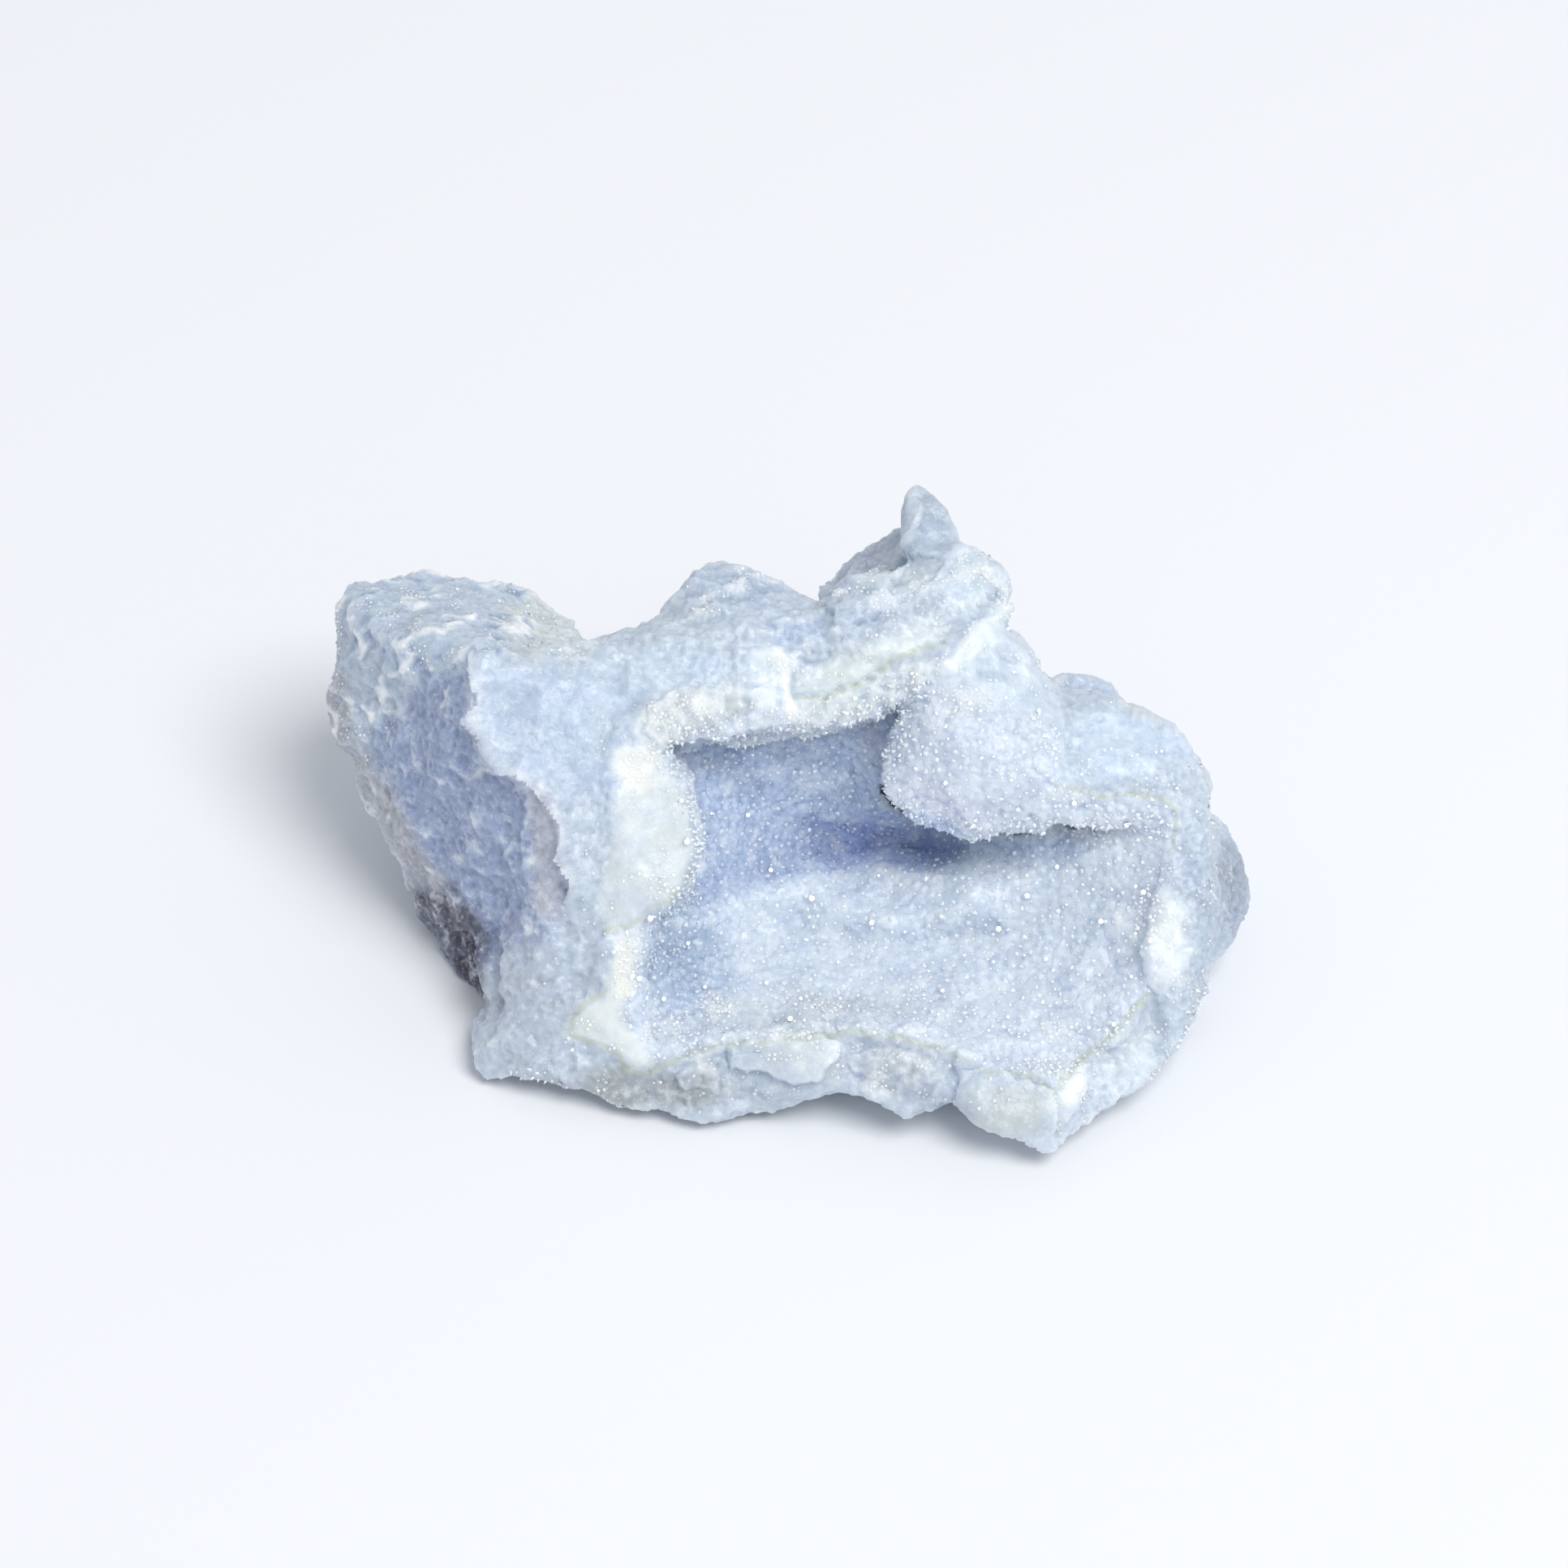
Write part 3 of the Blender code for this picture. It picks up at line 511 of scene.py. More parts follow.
# %% [markdown]
# ## Carving the broken skin
#
# Each kind of noise gives a height in millimetres, and every point of the skin is pushed along its
# own direction by the sum of them. A texture on the surface alone wouldn't do, because the outline of
# the stone has to be broken too. The druse in the hollow gets fine grain, the blocks get sharp
# glassy facets, and the lobe, the lip and the shoulder of the hollow stay calmer than the rest.

# %% Where the skin is druse, and where it is calm
CALM = [((9.9, 45.0), (2.6, 4.0)), ((0.7, 6.7), (4.4, 2.4)), ((16.1, 3.1), (4.4, 3.2))]
points = points_of(stone)
normals = directions_of(stone)
in_front = reach(normals @ towards, 0.0, 0.3)
rough_edge = face + 0.35 * drift(points, 0.9 * MM, (21, 22, 23))
hollow = region(rough_edge, HOLLOW, soft=0.4) * reach(face[:, 2], -24.0, -18.0)
smooth = region(rough_edge, LOBE) + region(rough_edge, INNER_LIP) + region(rough_edge, TRIANGLE)
druse = hollow * (1 - np.minimum(smooth, 1))
outer = 1 - druse * reach(depth_in(rough_edge, HOLLOW), -1.0, 2.0)
calm = np.minimum(smooth + 0.9 * region(face, SHOULDER, soft=3.0) + any_oval(face, CALM), 1)
print("points of druse:", int((druse > 0.5).sum()), "and calm ones:", int((calm > 0.5).sum()))

# %% Swells, chips and glassy facets of the outer stone
# A layer of relief is its height in millimetres, its kind, its size in millimetres, and its seed.
STONE_LAYERS = [
    (0.24, clouds, 4.0, 3), (0.12, clouds, 0.40, 1), (0.08, crests, 2.2, 5), (0.04, crests, 0.8, 6),
]
CHIP_MIDDLE = 0.4
FACET_MIDDLE = 0.5
small_chips = scallops(points, 1.3 * MM, 4) - CHIP_MIDDLE
sugar_chips = scallops(points, 0.65 * MM, 15) - CHIP_MIDDLE
height = sum(depth * kind(points, size * MM, seed) for depth, kind, size, seed in STONE_LAYERS)
height = outer * (height + 0.14 * small_chips + 0.10 * sugar_chips) * (1 - 0.6 * calm)
fractured = any_oval(face, FRACTURED)
height += fractured * (0.55 * (facets_of(points) - FACET_MIDDLE) + 0.12 * small_chips)
broken_rim = np.maximum(oval(face, (-5.5, 31.5), (4.8, 1.8), 15), oval(face, (5.9, 32.4), (5.6, 1.6), 20))
rim_chips = scallops(points, 1.1 * MM, 18, (0.8, 0.8, 1.5)) - FACET_MIDDLE
height += broken_rim * in_front * (0.8 * rim_chips + 0.7 * clouds(points, 1.8 * MM, 19))
print("stone carved by", round(height.min(), 2), "to", round(height.max(), 2), "mm")

# %% The web on the left lump, and the step beyond its ridge
left_top = region(face, LEFT_TOP, soft=1.2)
flank = region(face, FLANK, soft=1.0)
web, patches = web_of(points)
web = web * reach(patches, -0.5, 0.3)
swell = left_top * 0.5 * clouds(points, 3.2 * MM, 17)
height += (left_top * 0.26 + flank * 0.10) * (web - CHIP_MIDDLE) + swell
beyond = (depth_in(face, FLANK) < 0) * reach(distance_to(rough_edge, RIDGE), 3.0, 0.0)
height += in_front * 0.65 * beyond
print("points on the step beyond the ridge:", int((beyond > 0.5).sum()))

# %% Sugar grain of the druse, coarser along the edges of the hollow
edge = distance_to_any(rough_edge, HOLLOW_EDGES)
near_edge = reach(edge, 2.2, 0.6) * (face[:, 2] > -4.0)
pores = scallops(points, 0.55 * MM, 16) - CHIP_MIDDLE
height += druse * 0.36 * clouds(points, 2.2 * MM, 2)
height += druse * (0.04 + 0.10 * near_edge) * crests(points, 0.8 * MM, 9)
height += druse * (0.09 * clouds(points, 0.36 * MM, 10) - 0.16 * pores)
print("points near an edge of the hollow:", int((near_edge > 0.5).sum()))

# %% Raise the blocks and the crests, and push every point out or in
BACK_SWELL = 0.6
for outline, rise in BLOCKS:
    height += in_front * rise * region(rough_edge, outline, soft=0.25)
for line, width, rise in CRESTS:
    height += in_front * rise * (1 - reach(distance_to(rough_edge, line), 0.0, width))
height += (1 - in_front) * BACK_SWELL * clouds(points, 7.0 * MM, 46)
height *= MM
points = above_ground(points + normals * height[:, None])
move_points(stone, points)
print("carved by", round(height.min() / MM, 2), "to", round(height.max() / MM, 2), "mm")

# %% Note for each point how much druse, web and teeth it has
LOWEST_GRAIN = 0.7 * MM
outline = distance_to_any(rough_edge, TOOTHED_OUTLINES)
toothed = np.maximum(reach(edge, 1.1, 0.3), reach(outline, 0.9, 0.3))
toothed = toothed * (face[:, 2] > -3.5) * (points[:, 2] > LOWEST_GRAIN)
store(stone, "druse", druse)
store(stone, "web", np.clip(web, 0, 1) * np.maximum(left_top, 0.6 * flank))
store(stone, "teeth", toothed)
print("points with teeth:", int((toothed > 0.5).sum()))

# %% [markdown]
# ## Fewer triangles behind
#
# The carved skin is far finer than it needs to be at the back. The part that the camera doesn't see
# is thinned strongly and the broken face less, so most of the detail stays where the eye is.
# Thinning takes flat places first, and keeps the sharp ridges.

# %% Keep the fine skin in front, and a coarser one behind
SKIN_TRIANGLES = 195000
FINE_SHARE = 0.80
SEEN_DEPTH = -17.0


def thin_out(obj, chosen, wanted):
    """Leave this many triangles in the part of the skin that is chosen, and the rest as it is."""
    active(obj)
    bpy.ops.object.mode_set(mode="EDIT")
    bpy.ops.mesh.select_all(action="SELECT")
    bpy.ops.mesh.quads_convert_to_tris()
    bpy.ops.mesh.select_all(action="DESELECT")
    bpy.ops.mesh.select_mode(type="FACE")
    bpy.ops.object.mode_set(mode="OBJECT")
    corners = np.empty(len(obj.data.loops), np.int32)
    obj.data.loops.foreach_get("vertex_index", corners)
    picked = chosen[corners.reshape(-1, 3)].all(axis=1)
    obj.data.polygons.foreach_set("select", picked)
    bpy.ops.object.mode_set(mode="EDIT")
    if picked.sum() > wanted:
        bpy.ops.mesh.decimate(ratio=wanted / picked.sum())
    bpy.ops.object.mode_set(mode="OBJECT")


def in_front_of_back(obj):
    """True for each point of the broken face and its edges, and False for the back."""
    return (directions_of(obj) @ towards > -0.3) & (on_face(points_of(obj))[:, 2] > SEEN_DEPTH)


thin_out(stone, ~in_front_of_back(stone), SKIN_TRIANGLES * (1 - FINE_SHARE))
print("thinned behind:", triangles(stone), "triangles")
thin_out(stone, in_front_of_back(stone), SKIN_TRIANGLES * FINE_SHARE)
move_points(stone, above_ground(points_of(stone)))
print("points in front:", int(in_front_of_back(stone).sum()), "of", len(stone.data.vertices))
print("skin:", triangles(stone), "triangles")

# %% [markdown]
# ## Colour, region by region
#
# The stone is nearly white where it is thick with tiny cracks, and blue where it is clear and deep.
# Shade is painted in too: the flank, the bottom edge at the left, the left end of the shelf and the
# recess are painted darker, the deep back wall darker and bluer, partly as shade, and the foot, in
# deep shade by the floor, nearly black-purple. The colour of each point of the skin is mixed from the
# regions around it, with wandering edges: later paint covers earlier paint, as by hand. The same
# step marks where frost, white sugar and flashing crystals will sit.

# %% Brushes for the skin
points = points_of(stone)
face = on_face(points)
wander = drift(points, 2.0 * MM, (31, 32, 33))
soft_face = face + 0.9 * wander
ahead = reach(directions_of(stone) @ towards, -0.5, 0.0)


def tone_of(red, green, blue):
    """A colour given as on a screen, as the shader wants it."""
    return [*[((part / 255 + 0.055) / 1.055) ** 2.4 for part in (red, green, blue)], 1.0]


PLAIN = tone_of(194, 206, 218)
hue = np.tile(PLAIN, (len(face), 1))


def paint(where, colour, strength=1.0):
    """Mix a colour into the skin, where a region's share says, and not through to the back."""
    share = (where * ahead * strength)[:, None]
    hue[:] = hue * (1 - share) + np.array(tone_of(*colour)) * share


def paint_oval(centre, radii, colour, turn=0.0, strength=1.0):
    paint(oval(soft_face, centre, radii, turn), colour, strength)


def paint_line(line, width, colour, strength=1.0):
    near = distance_to(soft_face * 0.35 + face * 0.65, line)
    paint(1 - reach(near, width * 0.3, width), colour, strength)


# %% The left lump, its flank in painted shade with a brownish edge, its foot painted dark for deep shade, and the shoulder beside them
FLANK_EDGE = [(-32.1, 33.1), (-31.9, 28.8), (-29.7, 26.5), (-28.1, 23.9), (-26.7, 21.1), (-25.2, 19.1)]
paint(region(soft_face, LEFT_TOP, 1.5), (186, 200, 214))
paint_oval((-16.6, 37.9), (3.5, 3.5), (204, 212, 214))
# Painted shade: the flank lies in shade, so it is painted a darker blue-grey.
paint(region(soft_face, FLANK, 1.5), (152, 167, 197))
paint_line(FLANK_EDGE, 2.2, (176, 175, 176), 0.85)
paint_line(RIDGE, 0.7, (228, 234, 240), 0.6)
paint_line([(-17.0, 25.1), (-16.7, 21.1), (-16.6, 17.7)], 1.6, (190, 194, 206))
# Painted shade: the foot lies in deep shade near the floor, so it is painted nearly black-purple.
paint(region(soft_face, FOOT, 1.5), (66, 62, 82))
paint(region(soft_face, SHOULDER, 3.0), (187, 202, 219))
print("foot painted on", int((region(soft_face, FOOT, 1.5) > 0.5).sum()), "points")

# %% The hollow, its back wall painted darker blue partly for shade, its creamy lobe and lip, and its rim
BACK_WALL = [
    (-9.2, 28.6), (-5.0, 29.9), (0.5, 30.5), (4.7, 31.1), (8.2, 31.9), (7.6, 26.2), (13.3, 22.8),
    (20.7, 22.8), (27.0, 23.7), (27.0, 21.7), (19.0, 21.4), (12.1, 21.7), (5.3, 21.1), (-0.4, 20.2),
    (-3.8, 19.4), (-6.1, 18.2), (-7.8, 17.1), (-6.1, 22.2), (-6.6, 25.4), (-7.8, 27.1),
]
in_hollow = region(soft_face, HOLLOW, 1.0)
paint(in_hollow, (212, 223, 235))
# Partly painted shade: deep in the hollow the back wall is painted a darker blue, a bluer tone and the
# shade of the depth.
paint(region(soft_face, BACK_WALL, 2.0) * (face[:, 2] < -3.0), (174, 191, 217))
paint(region(face, LOBE, 1.0), (218, 226, 228))
paint_oval((-10.1, 27.6), (1.8, 1.6), (248, 249, 240))
paint(region(face, INNER_LIP, 1.0), (232, 238, 236))
paint_line([(-11.1, 15.1), (-11.3, 12.0)], 1.0, (246, 248, 238))
paint(region(soft_face, TRIANGLE, 1.5), (204, 217, 228))
paint_line([(-8.9, 30.5), (-6.7, 31.9), (-4.1, 32.4)], 2.2, (232, 236, 232), 0.8)
paint_line([(1.0, 31.1), (4.2, 31.9), (7.6, 33.3), (10.4, 34.5)], 1.6, (222, 229, 231), 0.8)
print("hollow painted on", int((in_hollow > 0.5).sum()), "points")

# %% The blocks, the mound and the bumps along the top edge
paint_line([(1.9, 33.3), (5.3, 34.8), (8.2, 36.2), (10.4, 37.1)], 1.5, (222, 231, 232))
paint_oval((-1.3, 33.9), (1.6, 3.2), (232, 241, 248))
paint_line([(-0.3, 35.9), (0.2, 33.1), (0.5, 31.1)], 0.5, (252, 254, 254))
paint_line([(11.5, 34.7), (13.6, 36.5), (15.6, 38.9)], 1.0, (228, 238, 243))
paint_oval((12.7, 40.8), (2.2, 2.4), (222, 233, 240))
paint_oval((-2.1, 40.5), (2.2, 1.6), (182, 197, 216))
paint_oval((-4.4, 40.4), (2.6, 1.8), (184, 198, 214))
paint_oval((-7.8, 34.5), (4.5, 1.8), (200, 214, 227))
paint_oval((8.2, 40.4), (3.4, 1.6), (204, 215, 222))
paint_oval((1.0, 37.1), (1.8, 0.9), (184, 200, 220))
paint_oval((4.7, 42.2), (4.0, 1.8), (178, 187, 202), 35)
print("mean hue after the top edge:", hue[:, :3].mean(0).round(2))

# %% The arm and the limb at the right, and the corner below them
paint_oval((21.5, 33.2), (2.4, 1.4), (190, 202, 217))
paint_oval((26.1, 31.9), (2.4, 1.2), (200, 204, 206))
paint_oval((29.2, 17.7), (1.8, 6.0), (174, 189, 204))
paint_oval((31.7, 19.4), (1.4, 5.0), (154, 165, 180))
paint_oval((23.5, 29.1), (5.0, 2.6), (210, 224, 238))
paint_oval((27.0, 15.5), (1.9, 3.4), (240, 246, 249), strength=0.9)
paint_oval((20.2, 4.7), (1.2, 2.4), (243, 248, 250), -25)
paint_oval((23.8, 6.8), (3.4, 2.0), (214, 224, 231), 45)
paint_oval((15.8, 3.4), (3.8, 2.2), (196, 204, 205))
print("mean hue after the right side:", hue[:, :3].mean(0).round(2))

# %% The flakes and the shell along the bottom edge, and the horn
paint_oval((7.0, 6.3), (4.6, 2.0), (198, 206, 212))
paint_oval((1.0, 7.4), (3.0, 1.6), (216, 225, 228))
paint_line([(-3.5, 8.0), (-2.1, 8.6), (0.5, 9.0), (2.7, 8.8), (3.8, 8.0)], 0.5, (236, 242, 244), 0.7)
paint_oval((-6.0, 6.0), (1.5, 1.1), (232, 238, 240))
paint_oval((9.9, 4.6), (2.0, 1.2), (182, 192, 206))
# Painted shade: the bottom edge at the left is painted a darker grey for the shade on it.
paint_oval((-10.1, 4.8), (7.0, 1.8), (168, 175, 177))
paint_oval((-18.1, 10.8), (3.4, 5.0), (188, 198, 210))
paint_oval((9.9, 45.0), (2.4, 3.4), (172, 186, 199))
print("mean hue after the bottom edge:", hue[:, :3].mean(0).round(2))

# %% Painted shade on the left end of the shelf and in the recess behind it; the front edge of the shelf, the light crest of the horn, and the bulge with a grey-blue spot beside it
# Painted shade: the left end of the shelf is painted darker and bluer.
paint_oval((-7.0, 14.2), (3.4, 5.0), (168, 187, 210))
paint_oval((1.9, 10.3), (8.0, 1.8), (203, 213, 218), strength=0.7)
paint_line([(9.0, 47.3), (9.2, 45.0), (8.3, 42.6)], 0.6, (220, 230, 237), 0.7)
# Painted shade: the recess under the brow, along the valley, is painted a dark blue.
paint_line([(10.4, 22.2), (6.4, 22.8), (3.0, 22.2)], 2.6, (160, 178, 222), 0.9)
paint_line([(2.5, 22.1), (-1.5, 20.7), (-5.5, 19.1)], 2.0, (160, 178, 210), 0.6)
paint_oval((11.0, 25.4), (4.5, 1.5), (206, 214, 230), -20)
paint_oval((6.6, 29.4), (1.6, 2.6), (186, 198, 218))
print("mean hue after the shelf:", hue[:, :3].mean(0).round(2))

# %% White edges on the glassy facets, blue pits in the web, and pale blotches in the hollow
facets = facets_of(points)
fractured = any_oval(face, FRACTURED)
broken = fractured * reach(clouds(points, 1.5 * MM, 43), -0.3, 0.2)
paint(broken * reach(facets, 0.62, 0.95), (242, 247, 251), 0.75)
paint(fractured * reach(facets, 0.25, 0.05), (176, 192, 218), 0.35)
web, patches = web_of(points)
pits = web + 0.5 * reach(patches, 0.1, -0.4)
paint(region(face, LEFT_TOP, 1.2) * reach(pits, 0.35, 0.08), (144, 162, 192), 0.8)
blotches = clouds(points, 1.6 * MM, 44) + 0.6 * clouds(points, 0.7 * MM, 45)
paint(in_hollow * reach(blotches, 0.15, 0.55), (236, 243, 248), 0.4)
print("points on glassy facets:", int((fractured > 0.5).sum()))

# %% White sugar, and the finished colours
SUGAR = [
    ((-8.1, 9.4), (2.2, 1.0)), ((-4.5, 10.8), (1.6, 0.9)), ((3.1, 10.8), (1.5, 0.8)),
    ((18.4, 6.6), (1.8, 1.2)), ((19.3, 9.2), (1.6, 0.8)), ((12.7, 32.5), (2.0, 1.2)),
    ((-10.1, 27.6), (1.8, 1.4)), ((-11.2, 13.4), (0.8, 2.4)), ((-6.7, 31.4), (3.0, 1.6)),
]
sugar = any_oval(soft_face, SUGAR)
paint(sugar, (240, 245, 248), 0.35)
colours = stone.data.color_attributes.new("hue", "FLOAT_COLOR", "POINT")
colours.data.foreach_set("color", hue.astype(np.float32).ravel())
store(stone, "seam", distance_to_any(face + 0.25 * wander, SEAM_LINES))
print("colours from", hue[:, :3].min(0).round(2), "to", hue[:, :3].max(0).round(2))

# %% Where frost lies, and where crystals may flash
depth = depth_in(face, HOLLOW)
clusters = clouds(points, 1.1 * MM, 41) + 0.5 * clouds(points, 4.0 * MM, 42)
near_hollow = 1 - reach(np.abs(depth), 1.0, 5.0)
often = 0.4 + 0.6 * np.maximum(near_hollow, region(face, LEFT_TOP, 1.5))
frosty = np.maximum(sugar, fractured * reach(facets, 0.6, 0.9))
frosty = np.maximum(frosty, reach(clusters, 0.18, 0.45) * often) * (points[:, 2] > LOWEST_GRAIN)
bright = reach(clouds(points, 2.5 * MM, 51), -0.15, 0.1) * reach(depth, -0.5, 0.5)
bright = bright * (face[:, 2] > -12.5)
store(stone, "frost", frosty)
store(stone, "flash", bright)
print("points with frost:", int((frosty > 0.5).sum()), "and with flashes:", int((bright > 0.5).sum()))

# %% [markdown]
# ## Quartz crystals in the hollow
#
# The last thing to grow in the hollow was clear quartz. Each crystal is a six-sided point of about
# four tenths of a millimetre. One is modelled here, standing on the ground, and then set on the
# skin thousands of times with a random turn, lean and size. Larger teeth hang along the rims. A few
# crystals turn a flat face halfway between lamp and camera: these are the ones that flash.

# %% Model one quartz point, one tooth, and one crystal that turns a flat face to the light
POINT_WIDTH = 0.42 * MM
POINT_HEIGHT = 0.22 * MM
TOOTH_WIDTH = 0.52 * MM
TOOTH_HEIGHT = 0.60 * MM
FLASH_WIDTH = 0.46 * MM
FLASH_TOP = 0.34 * MM
FLASH_HEIGHT = 0.5 * MM
KEY_DIRECTION = Vector((0.42, -0.42, 1.05)).normalized()


def quartz_point(name, width, top, height, sink):
    """A six-sided point, sunk in the ground by a share of its height; top is the width of its end."""
    bpy.ops.mesh.primitive_cone_add(
        vertices=6, radius1=width / 2, radius2=top / 2, depth=height,
        end_fill_type="NGON" if top else "NOTHING",
    )
    obj = bpy.context.object
    obj.name = name
    bpy.ops.object.mode_set(mode="EDIT")
    bpy.ops.mesh.select_all(action="SELECT")
    bpy.ops.transform.translate(value=(0, 0, height * (0.5 - sink)))
    bpy.ops.object.mode_set(mode="OBJECT")
    return obj


quartz = quartz_point("one quartz point", POINT_WIDTH, 0.0, POINT_HEIGHT, 0.38)
tooth = quartz_point("one tooth", TOOTH_WIDTH, 0.0, TOOTH_HEIGHT, 0.35)
flash = quartz_point("one flashing crystal", FLASH_WIDTH, FLASH_TOP, FLASH_HEIGHT, 0.3)
flash.data.transform((KEY_DIRECTION + towards_camera).to_track_quat("Z", "Y").to_matrix().to_4x4())
print("faces of one point:", len(quartz.data.polygons), "and of one flash:", len(flash.data.polygons))

# %% Strew crystals over the hollow


def strew(name, ground, grain, where, spacing, lean, sizes, seed, follow=True):
    """Set copies of one grain on the ground's skin, where an attribute is above one half.

    The copies stand up from the skin and turn at random, unless follow is False.
    """
    group = bpy.data.node_groups.new(name, "GeometryNodeTree")
    group.interface.new_socket("Geometry", in_out="INPUT", socket_type="NodeSocketGeometry")
    group.interface.new_socket("Geometry", in_out="OUTPUT", socket_type="NodeSocketGeometry")
    nodes, link = group.nodes, group.links.new
    start, end = nodes.new("NodeGroupInput"), nodes.new("NodeGroupOutput")
    chosen = nodes.new("GeometryNodeInputNamedAttribute")
    chosen.data_type = "FLOAT"
    chosen.inputs["Name"].default_value = where
    limit = nodes.new("FunctionNodeCompare")
    limit.operation = "GREATER_THAN"
    limit.inputs[1].default_value = 0.5
    link(chosen.outputs[0], limit.inputs[0])
    points = nodes.new("GeometryNodeDistributePointsOnFaces")
    points.distribute_method = "POISSON"
    points.inputs["Distance Min"].default_value = spacing
    points.inputs["Density Max"].default_value = 2.0 / spacing ** 2
    points.inputs["Seed"].default_value = seed
    link(start.outputs[0], points.inputs["Mesh"])
    link(limit.outputs[0], points.inputs["Selection"])
    turn = nodes.new("FunctionNodeRandomValue")
    turn.data_type = "FLOAT_VECTOR"
    turn.inputs[0].default_value = (-lean, -lean, 0.0)
    turn.inputs[1].default_value = (lean, lean, math.tau if follow else 0.0)
    turn.inputs["Seed"].default_value = seed
    as_rotation = nodes.new("FunctionNodeEulerToRotation")
    link(turn.outputs[0], as_rotation.inputs[0])
    turned = nodes.new("FunctionNodeRotateRotation")
    turned.rotation_space = "LOCAL"
    if follow:
        link(points.outputs["Rotation"], turned.inputs[0])
    link(as_rotation.outputs[0], turned.inputs[1])
    size = nodes.new("FunctionNodeRandomValue")
    size.inputs[2].default_value = sizes[0]
    size.inputs[3].default_value = sizes[1]
    size.inputs["Seed"].default_value = seed + 1
    tone = nodes.new("FunctionNodeRandomValue")
    tone.inputs["Seed"].default_value = seed + 2
    toned = nodes.new("GeometryNodeStoreNamedAttribute")
    toned.data_type = "FLOAT"
    toned.domain = "POINT"
    toned.inputs["Name"].default_value = "tone"
    link(points.outputs["Points"], toned.inputs["Geometry"])
    link(tone.outputs[1], toned.inputs["Value"])
    shape = nodes.new("GeometryNodeObjectInfo")
    shape.inputs["Object"].default_value = grain
    placed = nodes.new("GeometryNodeInstanceOnPoints")
    link(toned.outputs[0], placed.inputs["Points"])
    link(shape.outputs["Geometry"], placed.inputs["Instance"])
    link(turned.outputs[0], placed.inputs["Rotation"])
    link(size.outputs[1], placed.inputs["Scale"])
    real = nodes.new("GeometryNodeRealizeInstances")
    link(placed.outputs[0], real.inputs[0])
    link(real.outputs[0], end.inputs[0])
    obj = bpy.data.objects.new(name, ground.data.copy())
    bpy.context.scene.collection.objects.link(obj)
    add_modifier(obj, "NODES", node_group=group)
    move_points(obj, above_ground(points_of(obj)))
    print(name + ":", triangles(obj), "triangles")
    return obj


crystals = strew("quartz_points", stone, quartz, "druse",
                 spacing=0.5 * MM, lean=0.45, sizes=(0.3, 1.2), seed=5)
teeth = strew("rim_teeth", stone, tooth, "teeth",
              spacing=0.40 * MM, lean=0.5, sizes=(0.35, 0.9), seed=6)
frost = strew("frost_grains", stone, quartz, "frost",
              spacing=0.30 * MM, lean=0.7, sizes=(0.4, 0.95), seed=7)
flashes = strew("flashing_crystals", stone, flash, "flash",
                spacing=2.8 * MM, lean=0.06, sizes=(0.5, 1.3), seed=8, follow=False)
for grain in (quartz, tooth, flash):
    bpy.data.objects.remove(grain)

# %% [markdown]
# ## Finishes
#
# Light enters milky chalcedony, wanders for a millimetre or two, and comes out somewhere else. That
# is what makes it look soft and lit from within, and the shader does just that: all of its colour
# comes from below the surface. Clouds, frost and specks are mixed over the painted colour in three
# sizes. The crystals are small and clear: they take the colour of the skin below them, a little
# whiter, with a hard shine.

# %% Helpers for finishes


class Finish:
    """A material and short ways to add nodes to it."""

    def __init__(self, name):
        self.material = bpy.data.materials.new(name)
        self.material.use_nodes = True
        self.nodes = self.material.node_tree.nodes
        self.link = self.material.node_tree.links.new
        self.shader = self.nodes["Principled BSDF"]
        self.place = self.nodes.new("ShaderNodeTexCoord").outputs["Object"]

    def clouds(self, size, detail=3.0, roughness=0.55):
        node = self.nodes.new("ShaderNodeTexNoise")
        node.inputs["Scale"].default_value = 1 / size
        node.inputs["Detail"].default_value = detail
        node.inputs["Roughness"].default_value = roughness
        self.link(self.place, node.inputs["Vector"])
        return node.outputs["Fac"]

    def stored(self, name, output="Fac"):
        """A number that was kept for each point, or with output Color a colour."""
        node = self.nodes.new("ShaderNodeAttribute")
        node.attribute_name = name
        return node.outputs[output]

    def math(self, operation, first, second):
        node = self.nodes.new("ShaderNodeMath")
        node.operation = operation
        for socket, value in zip(node.inputs, (first, second)):
            if isinstance(value, (int, float)):
                socket.default_value = value
            else:
                self.link(value, socket)
        return node.outputs[0]

    def step(self, value, low, high, to_low=0.0, to_high=1.0):
        node = self.nodes.new("ShaderNodeMapRange")
        node.interpolation_type = "SMOOTHSTEP"
        for name, number in zip(("From Min", "From Max", "To Min", "To Max"), (low, high, to_low, to_high)):
            node.inputs[name].default_value = number
        self.link(value, node.inputs["Value"])
        return node.outputs["Result"]

    def mix(self, share, first, second):
        node = self.nodes.new("ShaderNodeMix")
        node.data_type = "RGBA"
        for socket, value in zip((node.inputs[0], node.inputs[6], node.inputs[7]), (share, first, second)):
            if isinstance(value, (int, float, list)):
                socket.default_value = value
            else:
                self.link(value, socket)
        return node.outputs[2]

    def bump(self, height, strength, depth):
        node = self.nodes.new("ShaderNodeBump")
        node.inputs["Strength"].default_value = strength
        node.inputs["Distance"].default_value = depth
        self.link(height, node.inputs["Height"])
        self.link(node.outputs[0], self.shader.inputs["Normal"])

    def wear(self, piece):
        """Put this finish on a piece, in place of what it wore."""
        piece.data.materials.clear()
        piece.data.materials.append(self.material)


# %% Finish of the stone
milk = Finish("milky chalcedony")
patchy = milk.step(milk.clouds(1.8 * MM), 0.4, 0.6)
wavering = milk.math("MULTIPLY", milk.clouds(1.5 * MM), 0.5)
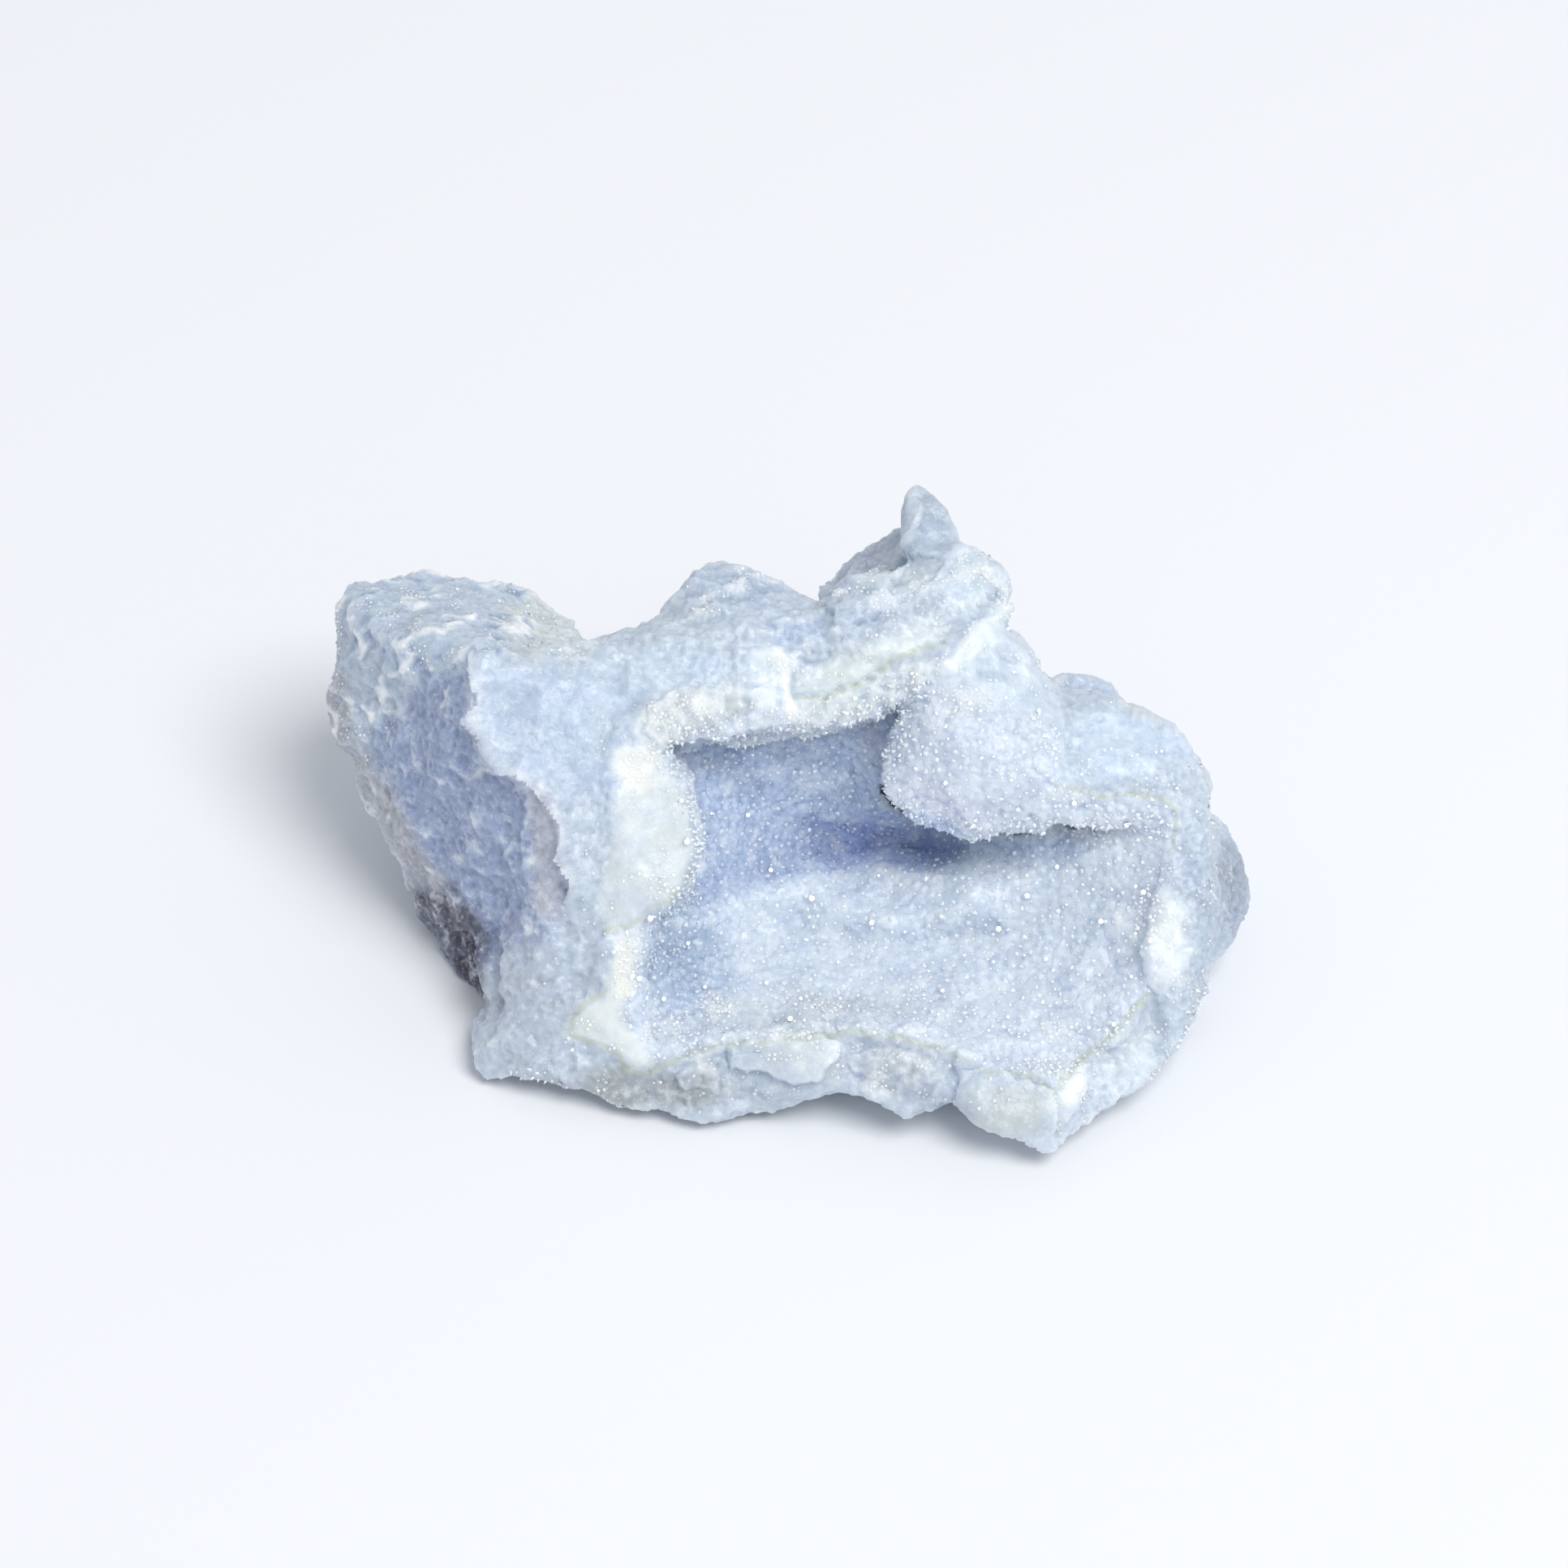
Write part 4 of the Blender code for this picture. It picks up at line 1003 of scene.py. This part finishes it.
# A layer is where it lies, how strong it is, and its colour; the first lies lowest.
MILK_LAYERS = [
    (milk.step(milk.clouds(2.6 * MM, 6.0, 0.7), 0.42, 0.62), 0.28, tone_of(184, 198, 224)),
    (milk.step(milk.clouds(1.6 * MM, 6.0, 0.75), 0.5, 0.68), 0.45, tone_of(240, 245, 250)),
    (milk.step(milk.clouds(0.35 * MM, 3.0, 0.7), 0.55, 0.7), 0.3, tone_of(244, 248, 251)),
    (milk.math("MULTIPLY", milk.step(milk.stored("web"), 0.3, 0.8), patchy), 0.9, tone_of(242, 246, 249)),
    (milk.step(milk.math("ADD", milk.stored("seam"), wavering), 0.6, 0.3), 0.5, tone_of(192, 200, 180)),
]
body = milk.stored("hue", "Color")
for where, strength, colour in MILK_LAYERS:
    body = milk.mix(milk.math("MULTIPLY", where, strength), body, colour)
milk.link(body, milk.shader.inputs["Base Color"])
milk.shader.inputs["Roughness"].default_value = 0.28
milk.shader.inputs["Subsurface Weight"].default_value = 1.0
milk.shader.inputs["Subsurface Radius"].default_value = (1.0, 1.0, 1.05)
milk.shader.inputs["Subsurface Scale"].default_value = 1.8 * MM
milk.bump(milk.clouds(0.3 * MM, 4.0, 0.6), 0.6, 0.12 * MM)
milk.wear(stone)
active(stone)
bpy.ops.object.shade_smooth_by_angle(angle=math.radians(22))
print("stone's finish:", len(milk.nodes), "nodes")

# %% Finish of the crystals


def quartz_finish(name, blue_share, white_share, roughness, gloss=0.5):
    """Small clear crystals: the skin's own colour with some bluer and some whiter ones among them."""
    clear = Finish(name)
    tint = clear.mix(0.45, clear.stored("hue", "Color"), tone_of(250, 252, 254))
    bluer = clear.step(clear.stored("tone"), 0.5, 0.0, 0.0, blue_share)
    whiter = clear.step(clear.stored("tone"), 0.6, 1.0, 0.0, white_share)
    tint = clear.mix(bluer, tint, tone_of(176, 192, 226))
    tint = clear.mix(whiter, tint, tone_of(250, 252, 254))
    clear.link(tint, clear.shader.inputs["Base Color"])
    clear.shader.inputs["Roughness"].default_value = roughness
    clear.shader.inputs["IOR"].default_value = 1.54
    clear.shader.inputs["Specular IOR Level"].default_value = gloss
    return clear


quartz_finish("drusy quartz", 0.08, 0.22, 0.3).wear(crystals)
quartz_finish("quartz teeth", 0.1, 0.8, 0.15).wear(teeth)
quartz_finish("frosted grains", 0.0, 0.6, 0.25).wear(frost)
quartz_finish("flashing quartz", 0.0, 1.0, 0.05, 1.0).wear(flashes)
print("finishes:", sorted(piece.active_material.name for piece in (stone, crystals, teeth, frost, flashes)))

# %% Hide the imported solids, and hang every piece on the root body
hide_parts("chalcedony")
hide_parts("druse")
for piece in (stone, crystals, teeth, frost, flashes):
    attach(piece, "root")

# %% [markdown]
# ## Floor and light
#
# The stone lies on a plain pale floor. One large lamp stands high at the right, where the sun is in
# the picture, so the shadows fall to the left and a little towards the back. A pale sky fills them.

# %% A pale floor
FLOOR_SIZE = 4.0
bpy.ops.mesh.primitive_plane_add(size=FLOOR_SIZE, location=(0, 0, 0))
floor = bpy.context.object
floor.name = "floor"
paper = Finish("pale floor")
paper.shader.inputs["Base Color"].default_value = tone_of(236, 238, 242)
paper.shader.inputs["Roughness"].default_value = 0.9
paper.wear(floor)

# %% One large lamp and a pale sky
KEY_DISTANCE = 1.2
KEY_SIZE = 0.70
KEY_POWER = 10.0
SKY_STRENGTH = 0.58
key = bpy.data.objects.new("key", bpy.data.lights.new("key", "AREA"))
bpy.context.scene.collection.objects.link(key)
key.data.shape = "DISK"
key.data.size = KEY_SIZE
key.data.energy = KEY_POWER
key.data.color = (1.0, 0.98, 0.95)
key.location = KEY_DIRECTION * KEY_DISTANCE
key.rotation_euler = KEY_DIRECTION.to_track_quat("Z", "Y").to_euler()
sky = bpy.data.worlds.new("pale sky")
sky.use_nodes = True
sky.node_tree.nodes["Background"].inputs["Color"].default_value = (0.92, 0.95, 1.0, 1.0)
sky.node_tree.nodes["Background"].inputs["Strength"].default_value = SKY_STRENGTH
bpy.context.scene.world = sky
bpy.context.scene.view_settings.view_transform = "Standard"
print("lamp at", tuple(round(value, 2) for value in key.location))
